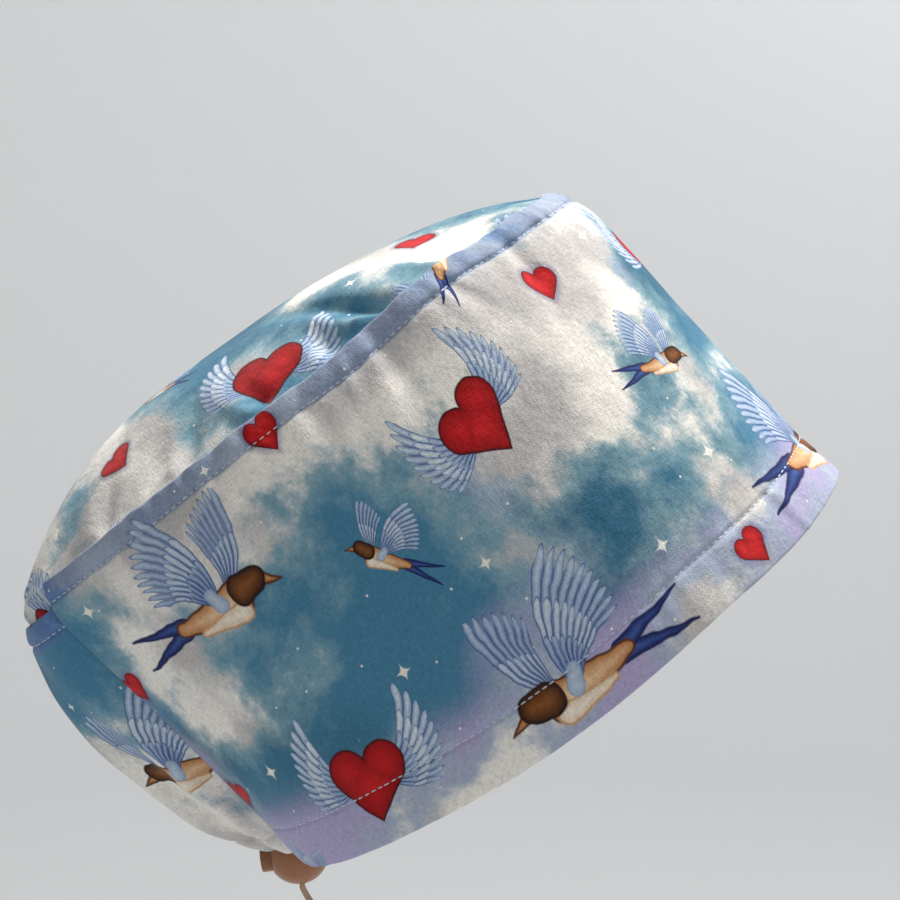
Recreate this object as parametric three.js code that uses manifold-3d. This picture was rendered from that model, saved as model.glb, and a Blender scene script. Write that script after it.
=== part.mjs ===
// Scrub cap as it sits on an upright head: a deep band, a domed crown and a back panel gathered to the nape,
// drawn in by a cord that runs in the hem and through a sprung ball-shaped cord lock.
// The cap is shaped in its own upright frame, with the hem's plane level, the forehead towards -Y and the
// wearer's right side towards -X, and is then tipped back as it is worn. Lengths are in millimetres.
import * as THREE from "three";
import { mergeVertices } from "three/addons/utils/BufferGeometryUtils.js";
import Module from "manifold-3d";

const wasm = await Module();
wasm.setup();

// The cap's fit
const FRONT_REACH = 119.3; // from the cap's middle to the hem at the forehead
const NAPE_REACH = 85.7; // from the middle to the band's back ends
const HALF_WIDTH = 82; // at the hem, above the ears
const WIDEST = 6; // how far behind the middle the band is widest
const BAND_HEIGHT = 122.7; // from hem to seam at the forehead
const HEM_DIP = 7; // how far the hem falls towards the ears
const END_OUT = 50; // from the centre line to the band's upper back corner
const PANEL_REACH = 119.3; // from the middle to the back panel's furthest bulge
const PANEL_HEIGHT = 109.2; // from the hem's level to the panel's upper seam
const PANEL_ARCH = 12; // how high the panel's gathered lower edge arches over the cord lock
const PANEL_CORNER = 3; // how far the panel's lower corner stays above the band's hem
const CROWN_HEIGHT = 144; // from the hem's level to the crown's top
const CROWN_MIDDLE = 8.6; // how far behind the cap's middle the crown's top lies
const CROWN_LEAN = 0.25; // how far the crown's edge leans in behind, as a share of what it rises to meet the dome
const CROWN_BACK = 1.6; // where the dome has its back's fullness; the band's back end is at 1
const WORN_TILT = 36; // degrees that the cap is tipped back on the head

// Cloth and seams
const CLOTH = 1.4; // wall of the cloth
const CLEARANCE = 0.3; // between hard pieces that touch
const PLY_GAP = 0.8; // between two layers of cloth
const HEM_DEPTH = 16;
const HEM_MOUTH = 28; // the band's column where the hem's inner layer ends and the cord comes out
const ALLOWANCE = 6.5; // seam allowance turned down inside the band
const RIDGE = 1; // how far the band's folded edge stands above the crown's seam
const GATHER = 2.4; // depth of the panel's gathers
const GATHERS = 2.5; // waves on each side of the panel's middle
const GATHER_START = 0.25; // share of the panel's half width in which they begin

// Cord lock and drawcord
const BALL_RADIUS = 9.6;
const LOCK_BACK = 88.3; // the ball's centre behind the cap's middle
const LOCK_UP = 1.5; // the ball's centre above the hem's level
const BUTTON_RADIUS = 4.4;
const BUTTON_PROUD = 12; // from the ball's centre to the button's face
const BUTTON_INNER = 3.4; // from the ball's centre to the button's inner end
const BUTTON_TRAVEL = 3;
const BUTTON_CHAMFER = 0.4;
const BUTTON_LEAN = 28; // degrees that the button's axis rises towards the back
const CORD_DIAMETER = 1.6;
const KNOT_RADIUS = 2.6;
const KNOT_LENGTH = 6;
const KNOT_ROUNDNESS = 0.7; // 1 for an ellipsoid, less for fuller ends

// How finely the faces are laid out
const OUTLINE_STEPS = 96;
const BAND_COLUMNS = 32;
const PANEL_COLUMNS = 12;
const TUCK_COLUMNS = 1;
const ROUND_SIDES = 32;
const CORD_SIDES = 8;
const FEED_STEPS = 28;
const TAIL_STEPS = 20;
const KNOT_SIDES = 12;
const KNOT_STEPS = 8;

// Outline of the band at shares of its height. front, out and back are shares of FRONT_REACH, HALF_WIDTH and
// NAPE_REACH, and end is the back corner's distance from the centre line as a share of END_OUT.
const BAND_SECTIONS = [
  { at: 0.0, front: 1.0, out: 1.0, end: 0.32, back: 1.0 },
  { at: 0.13, front: 0.969, out: 1.004, end: 0.44, back: 1.014 },
  { at: 0.3, front: 0.944, out: 1.005, end: 0.6, back: 1.032 },
  { at: 0.5, front: 0.921, out: 0.99, end: 0.76, back: 1.054 },
  { at: 0.64, front: 0.905, out: 0.968, end: 0.87, back: 1.072 },
  { at: 0.8, front: 0.887, out: 0.93, end: 0.95, back: 1.098 },
  { at: 0.91, front: 0.868, out: 0.895, end: 0.98, back: 1.112 },
  { at: 1.0, front: 0.81, out: 0.85, end: 1.0, back: 1.08 },
];
// Height of the band's two edges at shares of its length from the forehead to its back end. dip is a share of
// HEM_DIP and seam a share of BAND_HEIGHT.
const BAND_EDGES = [
  { at: 0.0, dip: 0.0, seam: 1.0 },
  { at: 0.1, dip: 0.02, seam: 1.005 },
  { at: 0.22, dip: 0.42, seam: 1.004 },
  { at: 0.34, dip: 0.56, seam: 1.012 },
  { at: 0.42, dip: 0.75, seam: 1.0 },
  { at: 0.5, dip: 0.88, seam: 0.98 },
  { at: 0.6, dip: 0.8, seam: 0.98 },
  { at: 0.73, dip: 0.34, seam: 0.972 },
  { at: 0.86, dip: 0.0, seam: 0.958 },
  { at: 1.0, dip: -0.24, seam: 0.953 },
];
// The back panel's furthest reach at shares of PANEL_HEIGHT, as shares of PANEL_REACH.
const PANEL_SECTIONS = [
  { at: 0.04, reach: 0.76 },
  { at: 0.12, reach: 0.82 },
  { at: 0.244, reach: 0.9 },
  { at: 0.366, reach: 0.931 },
  { at: 0.475, reach: 0.957 },
  { at: 0.613, reach: 0.992 },
  { at: 0.776, reach: 1.0 },
  { at: 0.9, reach: 0.976 },
  { at: 1.0, reach: 0.945 },
];
// How deep the panel's gathers are at shares of the way from its lower edge to its seam, as shares of GATHER.
const PANEL_GATHERS = [
  { at: 0.0, depth: 0.3 },
  { at: 0.1, depth: 0.47 },
  { at: 0.25, depth: 0.72 },
  { at: 0.45, depth: 0.68 },
  { at: 0.7, depth: 0.35 },
  { at: 1.0, depth: 0.0 },
];
// Folds in the worn band. along is a share of its length on one side (side 1 is the wearer's right), up a share
// of its height; wide and tall are the fold's half sizes in those shares, and push is how far it stands out.
const BAND_FOLDS = [
  { side: 1, along: 0.45, wide: 0.035, up: 0.97, tall: 0.1, push: -1.8 },
  { side: 1, along: 0.39, wide: 0.04, up: 0.93, tall: 0.14, push: 1.3 },
  { side: 1, along: 0.24, wide: 0.05, up: 0.9, tall: 0.12, push: -1.6 },
  { side: 1, along: 0.9, wide: 0.12, up: 0.45, tall: 0.4, push: -1.2 },
  { side: -1, along: 0.36, wide: 0.07, up: 0.95, tall: 0.14, push: -1.5 },
  { side: -1, along: 0.6, wide: 0.12, up: 0.8, tall: 0.3, push: 1.2 },
];
// Dents in the crown. around is a share of the way from the forehead to the band's back end, out a share of the
// way from the crown's middle to its seam, and drop is the dent's depth.
const CROWN_DENTS = [
  { side: 1, around: 0.47, wide: 0.055, out: 0.93, deep: 0.1, drop: 2.6 },
  { side: 1, around: 0.27, wide: 0.06, out: 0.92, deep: 0.09, drop: 1.6 },
  { side: 1, around: 0.72, wide: 0.08, out: 0.9, deep: 0.12, drop: 1.4 },
  { side: -1, around: 0.4, wide: 0.06, out: 0.92, deep: 0.1, drop: 2.2 },
  { side: -1, around: 0.66, wide: 0.07, out: 0.92, deep: 0.1, drop: 1.6 },
];
const BLUNTNESS = { front: 2.1, back: 2.3, panel: 2.0 };
const CROWN_FULLNESS = { front: 2.5, back: 3.4 };
const CROWN_RINGS = [0, 0.2, 0.42, 0.62, 0.78, 0.9, 1];
const BAND_LEVELS = [0, 0.065, 0.3, 0.5, 0.7, 0.86];
const PANEL_LEVELS = [0, 0.1, 0.22, 0.36, 0.52, 0.7, 0.84];

const mix = (a, b, t) => a + (b - a) * t;
const clamp01 = (t) => Math.min(1, Math.max(0, t));
const ease = (t) => clamp01(t) ** 2 * (3 - 2 * clamp01(t));

// A table's column at a share between its rows, on a smooth curve through them.
function read(table, column, at) {
  const last = table.length - 1;
  const slope = (k) => {
    const before = table[Math.max(k - 1, 0)];
    const after = table[Math.min(k + 1, last)];
    return (after[column] - before[column]) / (after.at - before.at);
  };
  const place = Math.min(table[last].at, Math.max(table[0].at, at));
  let k = 0;
  while (k < last - 1 && table[k + 1].at < place) k += 1;
  const span = table[k + 1].at - table[k].at;
  const t = (place - table[k].at) / span;
  const rise = t * t * (3 - 2 * t);
  const bend = t * (1 - t) * span;
  return mix(table[k][column], table[k + 1][column], rise) + bend * ((1 - t) * slope(k) - t * slope(k + 1));
}

// Points of a plan outline, with the length along it at each.
function measured(points) {
  const lengths = [0];
  for (let k = 1; k < points.length; k += 1) {
    lengths.push(lengths[k - 1] + points[k].distanceTo(points[k - 1]));
  }
  return { points, lengths };
}

// The outline's point and outward normal at a share of its length.
function along({ points, lengths }, share) {
  const goal = clamp01(share) * lengths.at(-1);
  let k = 0;
  while (k < points.length - 2 && lengths[k + 1] < goal) k += 1;
  const t = (goal - lengths[k]) / (lengths[k + 1] - lengths[k]);
  const run = points[k + 1].clone().sub(points[k]).normalize();
  return { point: points[k].clone().lerp(points[k + 1], t), normal: new THREE.Vector2(-run.y, run.x) };
}

// One side of the band's outline, from the forehead round to its back end, on the +X side of the plan.
const outlines = new Map();
function bandOutline(height) {
  const key = height.toFixed(5);
  if (outlines.has(key)) return outlines.get(key);
  const front = FRONT_REACH * read(BAND_SECTIONS, "front", height) + WIDEST;
  const out = HALF_WIDTH * read(BAND_SECTIONS, "out", height);
  const end = END_OUT * read(BAND_SECTIONS, "end", height);
  const back = NAPE_REACH * read(BAND_SECTIONS, "back", height) - WIDEST;
  const share = (end / out) ** BLUNTNESS.back;
  const reach = back / (1 - share) ** (1 / BLUNTNESS.back);
  const stop = Math.PI - Math.asin(Math.sqrt(share));
  const points = [];
  for (let k = 0; k <= OUTLINE_STEPS; k += 1) {
    const angle = (stop * k) / OUTLINE_STEPS;
    const ahead = angle < Math.PI / 2;
    const power = 2 / (ahead ? BLUNTNESS.front : BLUNTNESS.back);
    const fore = Math.abs(Math.cos(angle)) ** power;
    points.push(new THREE.Vector2(out * Math.sin(angle) ** power, WIDEST + (ahead ? -front : reach) * fore));
  }
  const outline = measured(points);
  outlines.set(key, outline);
  return outline;
}

const hemAt = (share) => -HEM_DIP * read(BAND_EDGES, "dip", share);
const seamAt = (share) => BAND_HEIGHT * read(BAND_EDGES, "seam", share);

function foldPush(side, share, height) {
  let push = 0;
  for (const fold of BAND_FOLDS) {
    if (fold.side !== side) continue;
    push += fold.push * Math.exp(-(((share - fold.along) / fold.wide) ** 2) - ((height - fold.up) / fold.tall) ** 2);
  }
  return push;
}

// A point on the band, sunk below its outer face. side is 1 on the wearer's right.
function bandPoint(side, share, height, sunk = 0) {
  const { point, normal } = along(bandOutline(height), share);
  const out = foldPush(side, share, height) - sunk;
  const x = point.x + normal.x * -out;
  const y = point.y + normal.y * -out;
  return new THREE.Vector3(-side * x, y, mix(hemAt(share), seamAt(share), height));
}

// Half of the back panel's outline, from under the band's back edge to the middle of the back.
const panelOutlines = new Map();
function panelOutline(level) {
  const key = level.toFixed(5);
  if (panelOutlines.has(key)) return panelOutlines.get(key);
  const height = level * PANEL_HEIGHT;
  const start = bandPoint(-1, 1, panelShare(1, height), CLOTH + PLY_GAP);
  const reach = PANEL_REACH * read(PANEL_SECTIONS, "reach", level);
  const points = [];
  for (let k = 0; k <= OUTLINE_STEPS; k += 1) {
    const angle = ((Math.PI / 2) * k) / OUTLINE_STEPS;
    const power = 2 / BLUNTNESS.panel;
    points.push(
      new THREE.Vector2(start.x * Math.cos(angle) ** power, mix(start.y, reach, Math.sin(angle) ** power)),
    );
  }
  const outline = measured(points);
  panelOutlines.set(key, outline);
  return outline;
}

const panelShare = (share, height) => (height - hemAt(share)) / (seamAt(share) - hemAt(share));
const hemShare = HEM_DEPTH / BAND_HEIGHT;

// The band is one cloth wall thick, and two in the turned-up hem as far as the hem's mouth.
function bandWall(share, height) {
  const doubled = height < hemShare + 1e-6 && share <= HEM_MOUTH / BAND_COLUMNS + 1e-6;
  return doubled ? 2 * CLOTH : CLOTH;
}

// The panel's lower edge rises from the band's end towards the middle of the back.
const panelFoot = (across) => mix(hemAt(1) + PANEL_CORNER, PANEL_ARCH, ease(across));

// A point on the back panel. column counts from the tucked edge, through the band's back edge, to the middle.
function panelPoint(side, column, level, sunk = 0) {
  const across = Math.max(0, (column - TUCK_COLUMNS) / PANEL_COLUMNS);
  const height = mix(panelFoot(across), PANEL_HEIGHT, level);
  if (column <= TUCK_COLUMNS) {
    const share = 1 - (TUCK_COLUMNS - column) / BAND_COLUMNS;
    const at = panelShare(share, height);
    const tucked = bandPoint(side, share, at, bandWall(share, at) + PLY_GAP + sunk);
    return new THREE.Vector3(tucked.x, tucked.y, height);
  }
  const { point, normal } = along(panelOutline(height / PANEL_HEIGHT), across);
  const depth = GATHER * read(PANEL_GATHERS, "depth", level) * ease(across / GATHER_START);
  const out = -depth * Math.cos(2 * Math.PI * GATHERS * across) - sunk;
  return new THREE.Vector3(-side * (point.x - normal.x * out), point.y - normal.y * out, height);
}

// Collects triangles, joins equal corners and drops the triangles that have none left.
class Skin {
  constructor() {
    this.places = [];
    this.corners = new Map();
    this.faces = [];
  }
  corner(p) {
    const key = `${Math.round(p.x * 1e4)},${Math.round(p.y * 1e4)},${Math.round(p.z * 1e4)}`;
    if (!this.corners.has(key)) {
      this.corners.set(key, this.corners.size);
      this.places.push(p.x, p.y, p.z);
    }
    return this.corners.get(key);
  }
  triangle(a, b, c) {
    const corners = [this.corner(a), this.corner(b), this.corner(c)];
    if (new Set(corners).size === 3) this.faces.push(...corners);
  }
  quad(a, b, c, d) {
    this.triangle(a, b, c);
    this.triangle(a, c, d);
  }
  geometry() {
    const geometry = new THREE.BufferGeometry();
    geometry.setAttribute("position", new THREE.Float32BufferAttribute(this.places, 3));
    geometry.setIndex(this.faces);
    geometry.computeVertexNormals();
    return geometry;
  }
}

// A wall between two grids of points, outer[column][row] and inner[column][row]. Columns run from the wearer's
// right side round the front to the left, rows upwards.
function wall(outer, inner, closed = false) {
  const skin = new Skin();
  const columns = outer.length;
  const rows = outer[0].length;
  for (let i = 0; i < columns - (closed ? 0 : 1); i += 1) {
    const n = (i + 1) % columns;
    for (let j = 0; j < rows - 1; j += 1) {
      skin.quad(outer[i][j], outer[n][j], outer[n][j + 1], outer[i][j + 1]);
      skin.quad(inner[i][j], inner[i][j + 1], inner[n][j + 1], inner[n][j]);
    }
    skin.quad(outer[i][0], inner[i][0], inner[n][0], outer[n][0]);
    skin.quad(outer[i][rows - 1], outer[n][rows - 1], inner[n][rows - 1], inner[i][rows - 1]);
  }
  for (let j = 0; j < rows - 1 && !closed; j += 1) {
    const e = columns - 1;
    skin.quad(outer[0][j], outer[0][j + 1], inner[0][j + 1], inner[0][j]);
    skin.quad(outer[e][j], inner[e][j], inner[e][j + 1], outer[e][j + 1]);
  }
  return skin.geometry();
}

// Runs a function over the columns from the right end to the left end of a piece that is mirrored at its middle.
function bothSides(count, make) {
  const columns = [];
  for (let k = count; k >= 0; k -= 1) columns.push(make(1, k));
  for (let k = 1; k <= count; k += 1) columns.push(make(-1, k));
  return columns;
}

function sideBand() {
  const levels = [...BAND_LEVELS, hemShare - 1e-4, hemShare + 1e-4, 1 - ALLOWANCE / BAND_HEIGHT, 1];
  levels.sort((a, b) => a - b);
  const grid = (sunk) =>
    bothSides(BAND_COLUMNS, (side, k) => {
      const share = k / BAND_COLUMNS;
      return levels.map((height) => bandPoint(side, share, height, sunk(share, height)));
    });
  return wall(grid(() => 0), grid(bandWall));
}

function backPanel() {
  const count = PANEL_COLUMNS + TUCK_COLUMNS;
  const levels = [...PANEL_LEVELS, 1 - ALLOWANCE / PANEL_HEIGHT, 1];
  // The panel's columns run from its right tucked edge, across the back, to its left one.
  const grid = (sunk) => {
    const columns = [];
    for (let k = 0; k <= count; k += 1) columns.push(levels.map((level) => panelPoint(-1, k, level, sunk)));
    for (let k = count - 1; k >= 0; k -= 1) columns.push(levels.map((level) => panelPoint(1, k, level, sunk)));
    return columns;
  };
  return wall(grid(0), grid(CLOTH));
}

// The crown's seam, from the forehead round the wearer's right side to the middle of the back, and back along
// the left. base is where the dome starts, rim where its seam allowance turns down, and foot the allowance's edge.
function crownEdge(side, column) {
  const inset = CLOTH + PLY_GAP;
  if (column < BAND_COLUMNS - TUCK_COLUMNS) {
    const share = column / BAND_COLUMNS;
    const down = (depth) => bandPoint(side, share, 1 - depth / BAND_HEIGHT, inset);
    return { share, base: down(RIDGE), rim: down(2 * RIDGE), foot: down(ALLOWANCE) };
  }
  const panel = column - BAND_COLUMNS + TUCK_COLUMNS;
  const across = clamp01((panel - TUCK_COLUMNS) / PANEL_COLUMNS);
  const down = (depth) => panelPoint(side, panel, 1 - depth / PANEL_HEIGHT, inset);
  const rim = down(RIDGE);
  const top = mix(seamAt(Math.min(1, column / BAND_COLUMNS)) - RIDGE, PANEL_HEIGHT, ease(across));
  const middle = new THREE.Vector3(0, CROWN_MIDDLE, rim.z);
  const lift = top - rim.z;
  const base = rim.clone().lerp(middle, (CROWN_LEAN * lift) / rim.distanceTo(middle));
  base.z = top;
  return { share: 1 + across, base, rim, foot: down(ALLOWANCE) };
}

function crownDrop(side, share, ring) {
  let drop = 0;
  for (const dent of CROWN_DENTS) {
    if (dent.side !== side) continue;
    const near = ((share - dent.around) / dent.wide) ** 2 + ((ring - dent.out) / dent.deep) ** 2;
    drop += dent.drop * Math.exp(-near);
  }
  return drop * Math.min(1, (1 - ring) / 0.1);
}

function crown() {
  const top = new THREE.Vector3(0, CROWN_MIDDLE, CROWN_HEIGHT);
  const last = BAND_COLUMNS + PANEL_COLUMNS;
  const column = (side, k) => {
    const { share, base, rim, foot } = crownEdge(side, k);
    const full = mix(CROWN_FULLNESS.front, CROWN_FULLNESS.back, ease(share / CROWN_BACK));
    const dome = CROWN_RINGS.map((ring) => {
      const p = top.clone().lerp(base, ring);
      p.z = mix(top.z, base.z, ring ** full) - crownDrop(side, share, ring);
      return p;
    });
    return [foot, rim, ...dome.reverse()];
  };
  const outer = [];
  for (let k = last; k > 0; k -= 1) outer.push(column(1, k));
  for (let k = 0; k < last; k += 1) outer.push(column(-1, k));
  const count = outer.length;
  const inner = outer.map((points, i) =>
    points.map((p, j) => {
      if (j === points.length - 1) return p.clone().setZ(p.z - CLOTH);
      const before = outer[(i + count - 1) % count][j];
      const after = outer[(i + 1) % count][j];
      const below = points[Math.max(j - 1, 0)];
      const above = points[j + 1];
      const normal = after.clone().sub(before).cross(above.clone().sub(below)).normalize();
      if (j < 2) normal.setZ(0).normalize();
      return p.clone().addScaledVector(normal, -CLOTH);
    }),
  );
  return wall(outer, inner, true);
}

// A solid of the boolean library from a closed geometry, and back.
function solid(geometry) {
  const bare = geometry.clone();
  bare.deleteAttribute("normal");
  bare.deleteAttribute("uv");
  const merged = mergeVertices(bare, 1e-4);
  return new wasm.Manifold(
    new wasm.Mesh({
      numProp: 3,
      vertProperties: new Float32Array(merged.attributes.position.array),
      triVerts: new Uint32Array(merged.index.array),
    }),
  );
}

function geometryOf(body) {
  const mesh = body.getMesh();
  const geometry = new THREE.BufferGeometry();
  geometry.setAttribute("position", new THREE.Float32BufferAttribute(mesh.vertProperties, 3));
  geometry.setIndex(Array.from(mesh.triVerts));
  geometry.computeVertexNormals();
  return geometry;
}

// The cord lock in its own frame: the button slides along +Y, the cord's hole runs along Z.
const STRAND_OUT = CORD_DIAMETER / 2 + CLEARANCE / 2;
const HOLE_RADIUS = STRAND_OUT + CORD_DIAMETER / 2 + CLEARANCE;

function rod(radius, from, to) {
  return new THREE.CylinderGeometry(radius, radius, to - from, ROUND_SIDES).translate(0, (from + to) / 2, 0);
}

function lockBody() {
  const profile = [];
  const steps = ROUND_SIDES / 2;
  for (let k = 0; k <= steps; k += 1) {
    const angle = -Math.PI / 2 + (Math.PI * k) / steps;
    const radius = k === 0 || k === steps ? 0 : BALL_RADIUS * Math.cos(angle);
    profile.push(new THREE.Vector2(radius, BALL_RADIUS * Math.sin(angle)));
  }
  const ball = solid(new THREE.LatheGeometry(profile, ROUND_SIDES));
  const pocketEnd = -BUTTON_INNER - BUTTON_TRAVEL - CLEARANCE;
  const pocket = solid(rod(BUTTON_RADIUS + CLEARANCE, pocketEnd, BALL_RADIUS + CLEARANCE));
  const hole = solid(rod(HOLE_RADIUS, -BALL_RADIUS - 1, BALL_RADIUS + 1).rotateX(Math.PI / 2));
  return geometryOf(ball.subtract(pocket).subtract(hole));
}

function lockButton() {
  const profile = [
    new THREE.Vector2(0, -BUTTON_INNER),
    new THREE.Vector2(BUTTON_RADIUS, -BUTTON_INNER),
    new THREE.Vector2(BUTTON_RADIUS, BUTTON_PROUD - BUTTON_CHAMFER),
    new THREE.Vector2(BUTTON_RADIUS - BUTTON_CHAMFER, BUTTON_PROUD),
    new THREE.Vector2(0, BUTTON_PROUD),
  ];
  const slotFrom = -CORD_DIAMETER / 2 - CLEARANCE;
  const slotTo = HOLE_RADIUS + BUTTON_TRAVEL;
  const slot = new THREE.BoxGeometry(2 * HOLE_RADIUS, slotTo - slotFrom, 4 * BUTTON_RADIUS);
  slot.translate(0, (slotFrom + slotTo) / 2, 0);
  return geometryOf(solid(new THREE.LatheGeometry(profile, ROUND_SIDES)).subtract(solid(slot)));
}

// Routes of the right-hand strand in the cap's upright frame; the left-hand one is their mirror image.
// The feed comes out of the hem's mouth, passes inside the back panel and dives through the cord lock.
const FEED_ROUTE = [
  [-35.6, 76.2, 7.2],
  [-31.5, 78.3, 7.6],
  [-27.2, 79.6, 8.2],
  [-22.6, 80.5, 9.2],
  [-18.2, 80.6, 10.8],
  [-13.8, 80.0, 13.0],
  [-9.6, 78.9, 15.2],
  [-5.8, 78.6, 17.1],
  [-2.7, 79.6, 17.3],
  [-1.15, 81.0, 16.0],
];
// The tail swings forward below the lock, then hangs straight down on an upright head.
const TAIL_ROUTE = [
  [-1.0, 93.5, -7.8],
  [-1.0, 94.0, -10.2],
  [-1.0, 94.2, -13.0],
  [-1.05, 94.5, -16.2],
  [-1.1, 95.4, -19.6],
  [-1.1, 97.0, -23.4],
  [-1.05, 99.1, -27.2],
  [-1.0, 101.5, -30.8],
  [-1.0, 103.9, -34.2],
  [-1.0, 106.3, -37.5],
];

const lean = THREE.MathUtils.degToRad(BUTTON_LEAN);
const lockCentre = new THREE.Vector3(0, LOCK_BACK, LOCK_UP);
const holeDown = new THREE.Vector3(0, Math.sin(lean), -Math.cos(lean));

function tube(points, steps) {
  const sides = [];
  for (let k = 0; k < CORD_SIDES; k += 1) {
    const angle = (2 * Math.PI * k) / CORD_SIDES;
    sides.push(new THREE.Vector2(Math.cos(angle), Math.sin(angle)).multiplyScalar(CORD_DIAMETER / 2));
  }
  const path = new THREE.CatmullRomCurve3(points);
  return new THREE.ExtrudeGeometry(new THREE.Shape(sides), { extrudePath: path, steps, bevelEnabled: false });
}

const mirrored = (side) => ([x, y, z]) => new THREE.Vector3(side * x, y, z);

function lockLine(side, depth) {
  return lockCentre.clone().addScaledVector(holeDown, depth).setX(-side * STRAND_OUT);
}

function feed(side) {
  const through = [-BALL_RADIUS, -BALL_RADIUS / 2, 0, BALL_RADIUS / 2, BALL_RADIUS];
  return tube([...FEED_ROUTE.map(mirrored(side)), ...through.map((depth) => lockLine(side, depth))], FEED_STEPS);
}

function tail(side) {
  return tube([lockLine(side, BALL_RADIUS + CLEARANCE), ...TAIL_ROUTE.map(mirrored(side))], TAIL_STEPS);
}

function knot() {
  const profile = [];
  for (let k = 0; k <= KNOT_STEPS; k += 1) {
    const angle = -Math.PI / 2 + (Math.PI * k) / KNOT_STEPS;
    const radius = k === 0 || k === KNOT_STEPS ? 0 : KNOT_RADIUS * Math.cos(angle) ** KNOT_ROUNDNESS;
    profile.push(new THREE.Vector2(radius, (KNOT_LENGTH / 2) * Math.sin(angle)));
  }
  return new THREE.LatheGeometry(profile, KNOT_SIDES);
}

const cloth = (color) => new THREE.MeshStandardMaterial({ color, roughness: 0.92, metalness: 0 });
const plastic = (color) => new THREE.MeshStandardMaterial({ color, roughness: 0.5, metalness: 0 });

function piece(name, geometry, material) {
  const mesh = new THREE.Mesh(geometry, material);
  mesh.name = name;
  return mesh;
}

const cap = new THREE.Group();
cap.add(piece("side_band", sideBand(), cloth("#6f9fbc")));
cap.add(piece("crown", crown(), cloth("#c9d8e6")));
cap.add(piece("back_panel", backPanel(), cloth("#a9bdd0")));
for (const [label, side] of [["right", 1], ["left", -1]]) {
  cap.add(piece(`cord_feed_${label}`, feed(side), cloth("#a9805f")));
  cap.add(piece(`cord_tail_${label}`, tail(side), cloth("#a9805f")));
}

const lock = new THREE.Group();
lock.add(piece("cord_lock_body", lockBody(), plastic("#9a6e50")));
lock.add(piece("cord_lock_button", lockButton(), plastic("#8f6549")));
lock.position.copy(lockCentre);
lock.rotation.x = lean;
cap.add(lock);

// The knot sits on the end of the tails, in line with their last stretch.
const [beforeLast, lastPoint] = TAIL_ROUTE.slice(-2).map(mirrored(1));
const hang = lastPoint.clone().sub(beforeLast).setX(0).normalize();
const end = piece("cord_knot", knot(), cloth("#a9805f"));
end.position.copy(lastPoint).setX(0).addScaledVector(hang, KNOT_LENGTH / 2 + CLEARANCE);
end.quaternion.setFromUnitVectors(new THREE.Vector3(0, 1, 0), hang);
cap.add(end);

// The origin is where the head bears on the crown's inner face.
const seat = new THREE.Vector3(0, CROWN_MIDDLE, CROWN_HEIGHT - CLOTH);
cap.rotation.x = -THREE.MathUtils.degToRad(WORN_TILT);
cap.position.copy(seat.applyEuler(cap.rotation)).negate();

const model = new THREE.Group();
model.add(cap);
export default model;
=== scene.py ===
"""Looks of a scrub cap: printed cotton, topstitching, a drawcord and its sprung ball lock."""

import logging
import math
from dataclasses import dataclass, field
from enum import Enum
from typing import Iterable, Sequence

import bpy
import numpy as np
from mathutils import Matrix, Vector


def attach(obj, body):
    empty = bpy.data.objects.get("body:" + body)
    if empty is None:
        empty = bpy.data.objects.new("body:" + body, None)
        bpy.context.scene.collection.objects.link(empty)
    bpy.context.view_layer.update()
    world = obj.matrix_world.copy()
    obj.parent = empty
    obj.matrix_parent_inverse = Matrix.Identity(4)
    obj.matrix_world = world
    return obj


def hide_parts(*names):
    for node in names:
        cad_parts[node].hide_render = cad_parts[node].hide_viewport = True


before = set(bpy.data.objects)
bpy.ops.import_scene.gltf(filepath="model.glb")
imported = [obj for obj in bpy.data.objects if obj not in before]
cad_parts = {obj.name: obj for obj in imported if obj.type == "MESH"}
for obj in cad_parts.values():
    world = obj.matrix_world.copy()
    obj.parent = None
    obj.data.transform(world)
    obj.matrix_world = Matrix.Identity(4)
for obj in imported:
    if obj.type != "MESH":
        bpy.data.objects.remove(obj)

LOG = logging.getLogger("scrub_cap")
MM = 0.001
MAP_UNIT = 100.0  # millimetres of cloth for one unit of its map
Array = np.ndarray
Hue = tuple[float, float, float, float]


def ease(value: Array | float) -> Array | float:
    """A smooth step from 0 to 1."""
    t = np.clip(value, 0.0, 1.0)
    return t * t * (3.0 - 2.0 * t)


def bell(value: Array | float, wide: float) -> Array | float:
    """A bell of height 1 round 0."""
    return np.exp(-((value / wide) ** 2))


def lengths(points: Array) -> Array:
    """How far along a line each of its points lies."""
    return np.concatenate([[0.0], np.cumsum(np.linalg.norm(np.diff(points, axis=0), axis=1))])


def plane_turn(degrees: float) -> Array:
    """The matrix that turns a plane anticlockwise."""
    angle = math.radians(degrees)
    return np.array([[math.cos(angle), -math.sin(angle)], [math.sin(angle), math.cos(angle)]])


def ripple(place: Array, spacing: float, seed: int) -> Array:
    """A smooth random wave.

    Args:
        place: Lengths along a seam, in millimetres.
        spacing: Distance between the wave's free points.
        seed: Chooses the wave.

    Returns:
        Heights of about -1 to 1, one for each place.
    """
    knots = np.random.default_rng(seed).uniform(-1.0, 1.0, 1024)
    x = np.asarray(place, float) / spacing + 400.0
    cell = np.floor(x).astype(int)
    t = x - cell
    a, b, c, d = (knots[(cell + k) % 1024] for k in (-1, 0, 1, 2))
    return b + 0.5 * t * (c - a + t * (2 * a - 5 * b + 4 * c - d + t * (3 * (b - c) + d - a)))


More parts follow.
